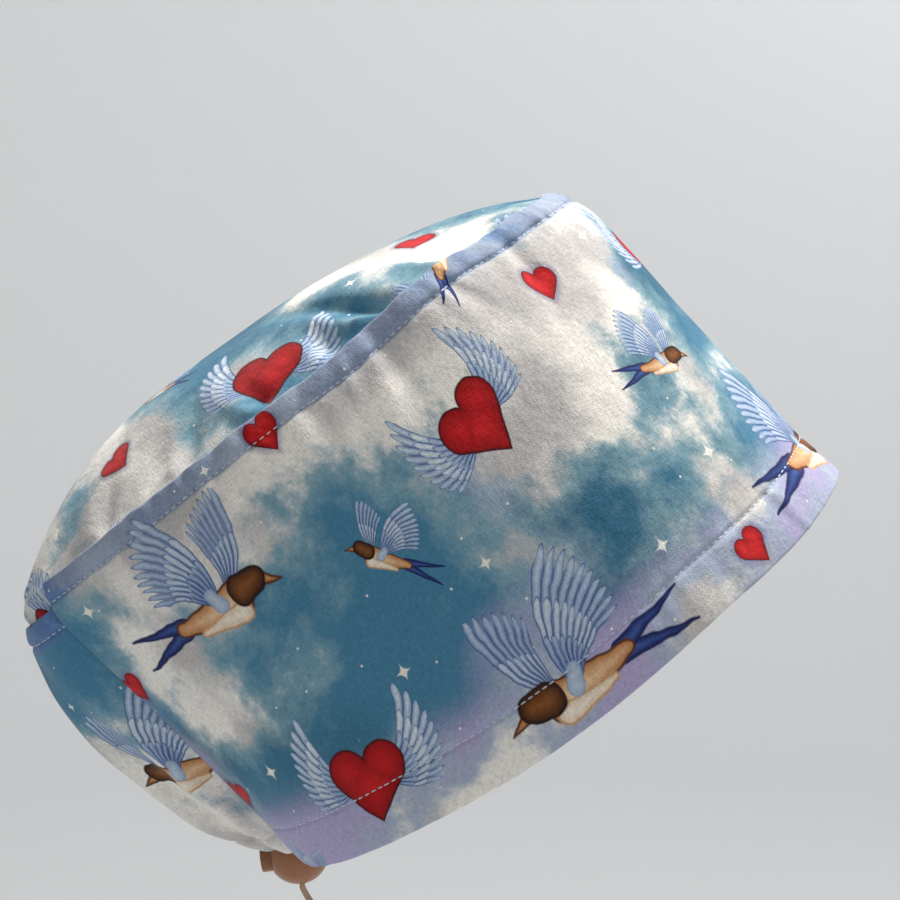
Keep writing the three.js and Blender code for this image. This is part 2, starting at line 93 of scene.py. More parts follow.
def drift(across: Array, up: Array, spacing: tuple[float, float], seed: int) -> Array:
    """A smooth random surface over a piece of cloth.

    Args:
        across: First coordinate, in millimetres.
        up: Second coordinate, in millimetres.
        spacing: Distances between the surface's free points.
        seed: Chooses the surface.

    Returns:
        Heights of about -1 to 1.
    """
    knots = np.random.default_rng(seed).uniform(-1.0, 1.0, (64, 64))
    x, y = across / spacing[0] + 32.0, up / spacing[1] + 32.0
    i, j = np.floor(x).astype(int), np.floor(y).astype(int)
    u, v = ease(x - i), ease(y - j)
    low = knots[i % 64, j % 64] * (1 - u) + knots[(i + 1) % 64, j % 64] * u
    high = knots[i % 64, (j + 1) % 64] * (1 - u) + knots[(i + 1) % 64, (j + 1) % 64] * u
    return low * (1 - v) + high * v


def through(points: Array, count: int, closed: bool = False) -> Array:
    """A smooth line through points.

    Args:
        points: The points, one a row.
        count: How many points the line has.
        closed: Whether the line runs round, its end then being left out.

    Returns:
        The line's points, evenly spread over the given ones' numbers.
    """
    last = len(points) if closed else len(points) - 1
    x = np.linspace(0.0, last, count, endpoint=not closed)
    cell = np.minimum(np.floor(x).astype(int), last - 1)
    t = (x - cell)[:, None]
    a, b, c, d = (points[(cell + k) % last if closed else np.clip(cell + k, 0, last)] for k in (-1, 0, 1, 2))
    return b + 0.5 * t * (c - a + t * (2 * a - 5 * b + 4 * c - d + t * (3 * (b - c) + d - a)))


@dataclass(frozen=True)
class Drape:
    """A soft unevenness of worn cloth: its height, its spacing across and up, its slant and its seed."""

    push: float
    spacing: tuple[float, float]
    seed: int
    slant: float = 0.0

    def at(self, across: Array, up: Array) -> Array:
        """The unevenness at places on the cloth, in millimetres."""
        return self.push * drift(across + self.slant * up, up, self.spacing, self.seed)


@dataclass(frozen=True)
class ShareTable:
    """Rows of shares, read on a smooth curve through them."""

    at: tuple[float, ...]
    columns: dict[str, tuple[float, ...]]

    def read(self, name: str, at: Array | float) -> Array:
        """A column at one or more places between the rows.

        Args:
            name: The column's name.
            at: Places in the range of the table's first column.

        Returns:
            The column's values there.
        """
        rows, values = np.array(self.at), np.array(self.columns[name])
        ends = np.arange(len(rows))
        after, before = np.minimum(ends + 1, len(rows) - 1), np.maximum(ends - 1, 0)
        slope = (values[after] - values[before]) / (rows[after] - rows[before])
        x = np.clip(at, rows[0], rows[-1])
        k = np.clip(np.searchsorted(rows, x, side="left") - 1, 0, len(rows) - 2)
        span = rows[k + 1] - rows[k]
        t = (x - rows[k]) / span
        bend = t * (1 - t) * span
        rise = ease(t)
        return values[k] * (1 - rise) + values[k + 1] * rise + bend * ((1 - t) * slope[k] - t * slope[k + 1])


@dataclass(frozen=True)
class Fold:
    """A soft fold or dent at a place on one side of the cap, side 1 being the wearer's right."""

    side: int
    along: float
    wide: float
    up: float
    tall: float
    push: float

    def at(self, signed: Array, height: Array) -> Array:
        """The fold's height at signed shares of the way round and shares of the way up."""
        near = ((np.abs(signed) - self.along) / self.wide) ** 2 + ((height - self.up) / self.tall) ** 2
        return np.where(signed * self.side >= 0, self.push * np.exp(-near), 0.0)


@dataclass(frozen=True)
class Tuck:
    """A sharp fold that runs out from a seam, with a ridge beside it, in shares along and millimetres."""

    side: int
    along: float
    lean: float
    wide: float
    run: float
    push: float

    def at(self, signed: Array, depth: Array, length: float) -> Array:
        """The fold's height at signed shares along a seam of a length and at depths from it."""
        u = ((np.abs(signed) - self.along) * length - self.lean * depth) / (self.wide + 0.12 * depth)
        fold = 0.75 * bell(u - 1.6, 1.0) - bell(u, 0.9)
        return np.where(signed * self.side >= 0, self.push * fold * np.exp(-((depth / self.run) ** 2)), 0.0)


@dataclass(frozen=True)
class CapForm:
    """The cap's worn form, in millimetres, in its own upright frame: forehead to -Y, wearer's right to -X."""

    front_reach: float = 119.3
    nape_reach: float = 85.7
    half_width: float = 82.0
    widest: float = 6.0
    band_height: float = 122.7
    hem_dip: float = 7.0
    end_out: float = 50.0
    panel_reach: float = 119.3
    panel_height: float = 109.2
    panel_arch: float = 12.0
    panel_corner: float = 3.0
    crown_height: float = 144.0
    crown_middle: float = 8.6
    crown_lean: float = 0.25
    crown_back: float = 1.6
    crown_fullness: tuple[float, float] = (2.5, 3.4)
    worn_tilt: float = 36.0
    seat_depth: float = 1.4
    hem_depth: float = 16.0
    hem_mouth: float = 0.875
    allowance: float = 6.5
    ridge: float = 1.0
    gather: float = 2.4
    gathers: float = 2.5
    gather_start: float = 0.25
    wall: float = 1.0
    ply_gap: float = 0.15
    band_columns: int = 32
    panel_columns: int = 12
    blunt_front: float = 2.1
    blunt_back: float = 2.3
    sections: ShareTable = ShareTable(
        (0.0, 0.13, 0.3, 0.5, 0.64, 0.8, 0.91, 1.0),
        {
            "front": (1.0, 0.969, 0.944, 0.921, 0.905, 0.887, 0.868, 0.81),
            "out": (1.0, 1.004, 1.005, 0.99, 0.968, 0.93, 0.895, 0.85),
            "end": (0.32, 0.44, 0.6, 0.76, 0.87, 0.95, 0.98, 1.0),
            "back": (1.0, 1.014, 1.032, 1.054, 1.072, 1.098, 1.112, 1.08),
        },
    )
    edges: ShareTable = ShareTable(
        (0.0, 0.1, 0.22, 0.34, 0.42, 0.5, 0.6, 0.73, 0.86, 1.0),
        {
            "dip": (0.0, 0.02, 0.42, 0.56, 0.75, 0.88, 0.8, 0.34, 0.0, -0.24),
            "seam": (1.0, 1.005, 1.004, 1.012, 1.0, 0.98, 0.98, 0.972, 0.958, 0.953),
        },
    )
    bulge: ShareTable = ShareTable(
        (0.04, 0.12, 0.244, 0.366, 0.475, 0.613, 0.776, 0.9, 1.0),
        {"reach": (0.76, 0.82, 0.9, 0.931, 0.957, 0.992, 1.0, 0.976, 0.945)},
    )
    gather_depth: ShareTable = ShareTable(
        (0.0, 0.1, 0.25, 0.45, 0.7, 1.0), {"depth": (0.3, 0.47, 0.72, 0.68, 0.35, 0.0)}
    )
    band_folds: tuple[Fold, ...] = (
        Fold(1, 0.45, 0.035, 0.97, 0.1, -1.8),
        Fold(1, 0.39, 0.04, 0.93, 0.14, 1.3),
        Fold(1, 0.24, 0.05, 0.9, 0.12, -1.6),
        Fold(1, 0.9, 0.12, 0.45, 0.4, -1.2),
        Fold(-1, 0.36, 0.07, 0.95, 0.14, -1.5),
        Fold(-1, 0.6, 0.12, 0.8, 0.3, 1.2),
    )
    crown_dents: tuple[Fold, ...] = (
        Fold(1, 0.47, 0.055, 0.93, 0.1, 2.6),
        Fold(1, 0.27, 0.06, 0.92, 0.09, 1.6),
        Fold(1, 0.72, 0.08, 0.9, 0.12, 1.4),
        Fold(-1, 0.4, 0.06, 0.92, 0.1, 2.2),
        Fold(-1, 0.66, 0.07, 0.92, 0.1, 1.6),
    )
    band_tucks: tuple[Tuck, ...] = (
        Tuck(1, 0.235, 0.35, 3.4, 20.0, 1.5),
        Tuck(1, 0.34, -0.2, 3.0, 15.0, 0.9),
        Tuck(1, 0.455, 0.3, 3.6, 22.0, 1.3),
        Tuck(1, 0.57, 0.15, 3.2, 15.0, 0.9),
        Tuck(1, 0.70, -0.3, 3.6, 18.0, 1.0),
        Tuck(1, 0.84, 0.25, 3.4, 14.0, 0.8),
        Tuck(1, 0.10, -0.3, 3.4, 16.0, 1.0),
        Tuck(-1, 0.08, 0.2, 3.2, 16.0, 0.9),
        Tuck(-1, 0.22, -0.3, 3.4, 20.0, 1.3),
        Tuck(-1, 0.37, 0.3, 3.6, 18.0, 1.2),
        Tuck(-1, 0.52, -0.2, 3.2, 15.0, 1.0),
        Tuck(-1, 0.66, 0.3, 3.6, 20.0, 1.2),
        Tuck(-1, 0.82, -0.2, 3.2, 14.0, 0.8),
    )
    crown_tucks: tuple[Tuck, ...] = (
        Tuck(1, 0.17, 0.3, 3.6, 18.0, 1.4),
        Tuck(1, 0.30, -0.3, 3.8, 20.0, 1.7),
        Tuck(1, 0.405, 0.35, 5.4, 28.0, 3.8),
        Tuck(1, 0.50, -0.15, 3.8, 18.0, 1.6),
        Tuck(1, 0.61, 0.3, 4.2, 22.0, 1.8),
        Tuck(1, 0.74, -0.25, 4.2, 20.0, 1.6),
        Tuck(1, 0.88, 0.2, 4.2, 18.0, 1.4),
        Tuck(-1, 0.06, 0.2, 3.6, 18.0, 1.2),
        Tuck(-1, 0.20, -0.3, 3.8, 22.0, 1.9),
        Tuck(-1, 0.33, 0.3, 4.2, 24.0, 2.2),
        Tuck(-1, 0.46, -0.2, 3.8, 18.0, 1.6),
        Tuck(-1, 0.60, 0.3, 4.2, 22.0, 1.8),
        Tuck(-1, 0.77, -0.2, 4.2, 18.0, 1.5),
        Tuck(-1, 0.92, 0.2, 4.2, 18.0, 1.4),
        Tuck(1, 1.30, 0.2, 4.2, 18.0, 1.4),
        Tuck(-1, 1.45, -0.2, 4.2, 18.0, 1.4),
    )
    outline_steps: int = 240

    def hem_at(self, share: Array | float) -> Array:
        """The hem's height at shares of the way from the forehead to the band's back end."""
        return -self.hem_dip * self.edges.read("dip", share)

    def seam_at(self, share: Array | float) -> Array:
        """The upper seam's height at the same shares."""
        return self.band_height * self.edges.read("seam", share)

    def outline(self, height: float) -> Array:
        """The plan of the band's +X side at a share of its height, from the forehead back, as x and y."""
        front = self.front_reach * float(self.sections.read("front", height)) + self.widest
        out = self.half_width * float(self.sections.read("out", height))
        end = self.end_out * float(self.sections.read("end", height))
        back = self.nape_reach * float(self.sections.read("back", height)) - self.widest
        share = (end / out) ** self.blunt_back
        reach = back / (1 - share) ** (1 / self.blunt_back)
        angle = np.linspace(0.0, math.pi - math.asin(math.sqrt(share)), self.outline_steps)
        ahead = angle < math.pi / 2
        power = 2.0 / np.where(ahead, self.blunt_front, self.blunt_back)
        fore = np.abs(np.cos(angle)) ** power
        return np.stack([out * np.sin(angle) ** power, self.widest + np.where(ahead, -front, reach) * fore], -1)

    @staticmethod
    def walk(line: Array, share: Array | float) -> tuple[Array, Array]:
        """Points at shares of a plan outline's length, and the outward normals there."""
        length = lengths(line)
        goal = np.clip(share, 0.0, 1.0) * length[-1]
        run = [np.interp(goal, length, np.gradient(line[:, k], length)) for k in (0, 1)]
        point = [np.interp(goal, length, line[:, k]) for k in (0, 1)]
        size = np.hypot(*run)
        return np.stack(point, -1), np.stack([run[1] / size, -run[0] / size], -1)

    def band_length(self) -> float:
        """The length of one half of the band's hem."""
        return float(np.linalg.norm(np.diff(self.outline(0.0), axis=0), axis=1).sum())

    def band(self, signed: Array, heights: Array, out: Array | float = 0.0) -> Array:
        """A grid of points on the band.

        Args:
            signed: Shares along the band, positive on the wearer's right.
            heights: Shares of its height.
            out: How far each point stands out from the band's face.

        Returns:
            Points in the upright frame, one row for each signed share.
        """
        push = sum(fold.at(signed[:, None], heights[None, :]) for fold in self.band_folds) + out
        grid = np.zeros((len(signed), len(heights), 3))
        side = np.where(signed >= 0, 1.0, -1.0)
        low, high = self.hem_at(np.abs(signed)), self.seam_at(np.abs(signed))
        for j, height in enumerate(heights):
            point, normal = self.walk(self.outline(float(height)), np.abs(signed))
            grid[:, j, 0] = -side * (point[:, 0] + normal[:, 0] * push[:, j])
            grid[:, j, 1] = point[:, 1] + normal[:, 1] * push[:, j]
            grid[:, j, 2] = low + (high - low) * height
        return grid

    def panel_half(self, side: int, across: Array, levels: Array, out: Array) -> Array:
        """A grid of points on one half of the back panel.

        Args:
            side: 1 on the wearer's right, -1 on the left.
            across: Shares from the band's back edge to the middle, those below 0 being tucked under the band,
                in columns of the band.
            levels: Shares of the way from the lower edge to the seam.
            out: How far each point stands out from the panel's face.

        Returns:
            Points in the upright frame, one row for each share across.
        """
        corner = float(self.hem_at(1.0)) + self.panel_corner
        foot = corner + (self.panel_arch - corner) * ease(across)
        height = foot[:, None] + (self.panel_height - foot[:, None]) * levels[None, :]
        tuck = self.wall + self.ply_gap
        low, high = float(self.hem_at(1.0)), float(self.seam_at(1.0))
        tall = np.linspace(height.min() - 1, height.max() + 1, 90)
        wide = np.linspace(0.0, 1.0, 241)
        starts = self.band(np.array([-1.0]), (tall - low) / (high - low), -tuck)[0]
        reach = self.panel_reach * self.bulge.read("reach", tall / self.panel_height)
        angle = np.linspace(0.0, math.pi / 2, 97)
        table = np.zeros((len(tall), len(wide), 4))
        for k, (start, far) in enumerate(zip(starts, reach)):
            line = np.stack([start[0] * np.cos(angle), start[1] + (far - start[1]) * np.sin(angle)], -1)
            table[k] = np.concatenate(self.walk(line, wide), -1)
        i = (height - tall[0]) / (tall[1] - tall[0])
        j = np.broadcast_to((np.clip(across, 0, 1) * 240)[:, None], height.shape)
        i0, j0 = np.floor(i).astype(int), np.minimum(np.floor(j).astype(int), 239)
        u, v = (i - i0)[..., None], (j - j0)[..., None]
        below = table[i0, j0] * (1 - v) + table[i0, j0 + 1] * v
        above = table[i0 + 1, j0] * (1 - v) + table[i0 + 1, j0 + 1] * v
        x, y, nx, ny = np.moveaxis(below * (1 - u) + above * u, -1, 0)
        depth = self.gather * self.gather_depth.read("depth", levels)[None, :]
        depth = depth * ease(across / self.gather_start)[:, None]
        stand = out - depth * np.cos(2 * math.pi * self.gathers * across)[:, None]
        grid = np.stack([-side * (x + nx * stand), y + ny * stand, height], -1)
        for k in np.flatnonzero(across < 0):
            share = 1.0 + across[k] / self.band_columns
            low, high = float(self.hem_at(share)), float(self.seam_at(share))
            tucked = self.band(np.array([side * share]), (height[k] - low) / (high - low), out[k][None, :] - tuck)[0]
            grid[k, :, :2] = tucked[:, :2]
        return grid

    def crown_edge(self, side: int, column: int) -> Array:
        """The crown's seam at a column, from the forehead to the middle of the back.

        Args:
            side: 1 on the wearer's right, -1 on the left.
            column: 0 at the forehead, band_columns + panel_columns at the back.

        Returns:
            One row: the foot, rim and base points, then the share of the way round.
        """
        inset = -(self.wall + self.ply_gap)
        if column < self.band_columns - 1:
            share = column / self.band_columns
            depths = np.array([self.allowance, 2 * self.ridge, self.ridge])
            edge = self.band(np.array([side * share]), 1 - depths / self.band_height, inset)[0]
            return np.append(edge.ravel(), share)
        across = (column - self.band_columns) / self.panel_columns
        levels = 1 - np.array([self.allowance, self.ridge]) / self.panel_height
        place = -1.0 if across < 0 else across
        foot, rim = self.panel_half(side, np.array([place]), levels, np.full((1, 2), inset))[0]
        across = max(across, 0.0)
        seam = float(self.seam_at(min(1.0, column / self.band_columns))) - self.ridge
        top = seam + (self.panel_height - seam) * float(ease(across))
        middle = np.array([0.0, self.crown_middle, rim[2]])
        base = rim + (middle - rim) * (self.crown_lean * (top - rim[2]) / np.linalg.norm(rim - middle))
        base[2] = top
        return np.concatenate([foot, rim, base, [1 + across]])

    def to_row(self, points: Array) -> Array:
        """Points of the upright frame in the object's frame, in metres, tipped back as the cap is worn."""
        angle = math.radians(self.worn_tilt)
        turn = np.array([[1, 0, 0], [0, math.cos(angle), math.sin(angle)], [0, -math.sin(angle), math.cos(angle)]])
        seat = np.array([0.0, self.crown_middle, self.crown_height - self.seat_depth])
        return (np.asarray(points, float) - seat) @ turn.T * MM


def colour(code: str, alpha: float = 1.0) -> Hue:
    """A web colour as linear red, green, blue and alpha."""
    parts = [int(code[k : k + 2], 16) / 255 for k in (1, 3, 5)]
    linear = [p / 12.92 if p <= 0.04045 else ((p + 0.055) / 1.055) ** 2.4 for p in parts]
    return (linear[0], linear[1], linear[2], alpha)


class Wire:
    """A shader socket that takes part in sums."""

    def __init__(self, sheet: "ShaderSheet", socket: bpy.types.NodeSocket) -> None:
        """Wraps a socket of a sheet."""
        self.sheet = sheet
        self.socket = socket

    def _sum(self, operation: str, *others: "Wire | float", clamp: bool = False) -> "Wire":
        """Adds a Math node with this socket first."""
        settings = {"operation": operation, "use_clamp": clamp}
        return self.sheet.node("ShaderNodeMath", settings, dict(enumerate((self, *others))))

    def __add__(self, other: "Wire | float") -> "Wire":
        """This plus another."""
        return self._sum("ADD", other)

    def __radd__(self, other: float) -> "Wire":
        """A number plus this."""
        return self._sum("ADD", other)

    def __sub__(self, other: "Wire | float") -> "Wire":
        """This minus another."""
        return self._sum("SUBTRACT", other)

    def __rsub__(self, other: float) -> "Wire":
        """A number minus this."""
        return self.scaled(-1.0, other)

    def __mul__(self, other: "Wire | float") -> "Wire":
        """This times another."""
        return self._sum("MULTIPLY", other)

    def __rmul__(self, other: float) -> "Wire":
        """A number times this."""
        return self._sum("MULTIPLY", other)

    def scaled(self, factor: float, plus: float, clamp: bool = False) -> "Wire":
        """This times a factor plus a number, kept from 0 to 1 if asked."""
        return self._sum("MULTIPLY_ADD", factor, plus, clamp=clamp)

    def least(self, other: "Wire | float") -> "Wire":
        """The smaller of this and another."""
        return self._sum("MINIMUM", other)

    def most(self, other: "Wire | float") -> "Wire":
        """The larger of this and another."""
        return self._sum("MAXIMUM", other)

    def size(self) -> "Wire":
        """This without its sign."""
        return self._sum("ABSOLUTE")

    def root(self) -> "Wire":
        """The square root of this."""
        return self._sum("SQRT")

    def angle(self, along: "Wire") -> "Wire":
        """The angle whose height is this and whose run is another, in radians."""
        return self._sum("ARCTAN2", along)

    def fraction(self) -> "Wire":
        """This above the whole number below it."""
        return self._sum("FRACT")

    def sine(self) -> "Wire":
        """The sine of this."""
        return self._sum("SINE")

    def rise(self, low: float, high: float) -> "Wire":
        """0 at low and below, 1 at high and above, smooth between."""
        settings = {"interpolation_type": "SMOOTHSTEP"}
        return self.sheet.node("ShaderNodeMapRange", settings, {"Value": self, "From Min": low, "From Max": high})


class ShaderSheet:
    """A material's node tree, drawn up in Python."""

    def __init__(self, name: str) -> None:
        """Starts a material with a Principled surface."""
        self.material = bpy.data.materials.new(name)
        self.material.use_nodes = True
        self.tree = self.material.node_tree
        self.surface = self.tree.nodes["Principled BSDF"]

    def node(self, kind: str, settings: dict, inputs: dict, output: int | str = 0) -> Wire:
        """Adds a node.

        Args:
            kind: The node's type.
            settings: Properties, set first; stops are a colour ramp's places and colours.
            inputs: Values or wires by socket index, identifier or name.
            output: The output that is wanted, by index, identifier or name.

        Returns:
            The wanted output.
        """
        made = self.tree.nodes.new(kind)
        for key, value in settings.items():
            if key == "stops":
                elements = made.color_ramp.elements
                while len(elements) < len(value):
                    elements.new(0.5)
                for element, (place, hue) in zip(elements, value):
                    element.position, element.color = place, hue
            else:
                setattr(made, key, value)
        for key, value in inputs.items():
            socket = self._socket(made.inputs, key)
            if isinstance(value, Wire):
                self.tree.links.new(value.socket, socket)
            else:
                socket.default_value = value
        return Wire(self, self._socket(made.outputs, output))

    @staticmethod
    def _socket(sockets: Iterable, key: int | str) -> bpy.types.NodeSocket:
        """A socket by index, identifier or name."""
        if isinstance(key, int):
            return sockets[key]
        return next((s for s in sockets if s.identifier == key), None) or sockets[key]

    def mix(self, share: Wire | float, first: Wire | Hue, second: Wire | Hue, blend: str = "MIX") -> Wire:
        """Blends two colours."""
        settings = {"data_type": "RGBA", "blend_type": blend}
        inputs = {"Factor_Float": share, "A_Color": first, "B_Color": second}
        return self.node("ShaderNodeMix", settings, inputs, "Result_Color")

    def ramp(self, share: Wire, stops: Sequence[tuple[float, Hue]]) -> Wire:
        """A colour for each value of a share."""
        return self.node("ShaderNodeValToRGB", {"stops": stops}, {0: share})

    def vector(self, operation: str, *parts: Wire | tuple, output: int | str = 0) -> Wire:
        """Adds a Vector Math node."""
        return self.node("ShaderNodeVectorMath", {"operation": operation}, dict(enumerate(parts)), output)

    def dot(self, vector: Wire, other: tuple[float, float, float]) -> Wire:
        """The dot product of a vector and a fixed one."""
        return self.vector("DOT_PRODUCT", vector, other, output="Value")

    def part(self, vector: Wire, axis: int) -> Wire:
        """One coordinate of a vector."""
        return self.node("ShaderNodeSeparateXYZ", {}, {0: vector}, axis)

    def uv(self, name: str) -> Wire:
        """A UV map of the piece."""
        return self.node("ShaderNodeUVMap", {"uv_map": name}, {})

    def value(self, name: str) -> Wire:
        """A number kept on the piece's vertices."""
        return self.node("ShaderNodeAttribute", {"attribute_name": name}, {}, "Fac")

    def noise(self, place: Wire, scale: float, detail: float, rough: float = 0.5, twist: float = 0.0) -> Wire:
        """Fractal noise from about 0 to 1."""
        inputs = {"Vector": place, "Scale": scale, "Detail": detail, "Roughness": rough, "Distortion": twist}
        return self.node("ShaderNodeTexNoise", {"noise_dimensions": "2D"}, inputs)

    def bump(self, height: Wire, strength: float, distance: float, under: Wire | None = None) -> Wire:
        """A normal bent by a height, over an earlier one if given."""
        inputs: dict = {"Strength": strength, "Distance": distance, "Height": height}
        if under:
            inputs["Normal"] = under
        return self.node("ShaderNodeBump", {}, inputs)

    def feed(self, **values: Wire | float | tuple) -> bpy.types.Material:
        """Sets or links sockets of the surface, an underscore standing for a blank, and gives the material."""
        for key, value in values.items():
            socket = self.surface.inputs[key.replace("_", " ")]
            if isinstance(value, Wire):
                self.tree.links.new(value.socket, socket)
            else:
                socket.default_value = value
        return self.material


class Motif(Enum):
    """What is printed on the cloth: each motif's number and its reach in its own units."""

    BIRD = (1, 1.22)
    WINGED_HEART = (2, 1.5)
    HEART = (3, 1.3)
    SPARKLE = (4, 1.25)


@dataclass(frozen=True)
class Print:
    """One motif of the print's repeat: its place, unit and turn, in millimetres and degrees."""

    motif: Motif
    x: float
    y: float
    unit: float
    turn: float
    flip: int = 1


@dataclass(frozen=True)
class PrintRepeat:
    """The print's half-drop repeat, in millimetres."""

    width: float = 204.0
    height: float = 142.0
    drop: float = 71.0
    cell: float = 10.0
    motifs: tuple[Print, ...] = (
        Print(Motif.BIRD, 52, 104, 32, -10),
        Print(Motif.WINGED_HEART, 124, 112, 20, 10),
        Print(Motif.BIRD, 174, 86, 17, 24, -1),
        Print(Motif.HEART, 92, 68, 7.6, -8),
        Print(Motif.BIRD, 142, 36, 31, 14, -1),
        Print(Motif.WINGED_HEART, 36, 34, 19, -18),
        Print(Motif.HEART, 188, 124, 7.4, 14),
        Print(Motif.BIRD, 84, 20, 15, 34),
        Print(Motif.HEART, 192, 30, 7.2, -12),
        Print(Motif.BIRD, 6, 74, 14, -34, -1),
        Print(Motif.SPARKLE, 92, 92, 4.2, 4),
        Print(Motif.SPARKLE, 12, 118, 3.4, 0),
        Print(Motif.SPARKLE, 70, 52, 3.2, 8),
        Print(Motif.SPARKLE, 158, 128, 3.8, -6),
        Print(Motif.SPARKLE, 116, 70, 2.6, 0),
        Print(Motif.SPARKLE, 182, 58, 3.6, 10),
        Print(Motif.SPARKLE, 60, 4, 3.0, 0),
        Print(Motif.SPARKLE, 98, 134, 3.2, 0),
        Print(Motif.SPARKLE, 164, 4, 3.4, 5),
        Print(Motif.SPARKLE, 8, 12, 2.6, 0),
    )

    def local(self, cloth: Array, faces: Array) -> Array:
        """Each face corner's place in the motif that covers its face.

        Args:
            cloth: Each vertex's place on the cloth, in millimetres.
            faces: Vertex indices, one row of four for each face.

        Returns:
            Places in the motif's own units, shifted by one cell for each kind of motif.
        """
        middle = cloth[faces].mean(1)
        local = np.zeros((len(faces), 4, 2))
        best = np.full(len(faces), 1.0)
        low, high = cloth.min(0) - 40.0, cloth.max(0) + 40.0
        for column in range(math.floor(low[0] / self.width) - 1, math.ceil(high[0] / self.width) + 1):
            shift = self.drop * (column % 2)
            for row in range(math.floor(low[1] / self.height) - 2, math.ceil(high[1] / self.height) + 1):
                for item in self.motifs:
                    kind, reach = item.motif.value
                    centre = np.array([item.x + column * self.width, item.y + row * self.height + shift])
                    far = np.linalg.norm(middle - centre, axis=1) / (reach * item.unit)
                    near = far < best
                    best[near] = far[near]
                    own = (cloth[faces[near]] - centre) @ plane_turn(-item.turn).T / item.unit * [item.flip, 1]
                    local[near] = own + [self.cell * kind, 0]
        return local


@dataclass(frozen=True)
class Paint:
    """A painted shape's outline, the colour just inside it and that of its middle."""

    line: str
    shade: str
    light: str
    deep: float = 0.1
    line_width: float = 0.02


@dataclass(frozen=True)
class Wing:
    """A painted wing: rows of feathers that spread and curl from one root, in motif units and degrees.

    Each row is given as its paint's name, its feathers' length and their number. The lean makes the feathers
    longer towards the wing's left side, and the curl bends them to it.
    """

    root: tuple[float, float]
    heading: float
    spread: float
    curl: float
    lean: float
    rows: tuple[tuple[str, float, int], ...]
    rounding: float = 0.16


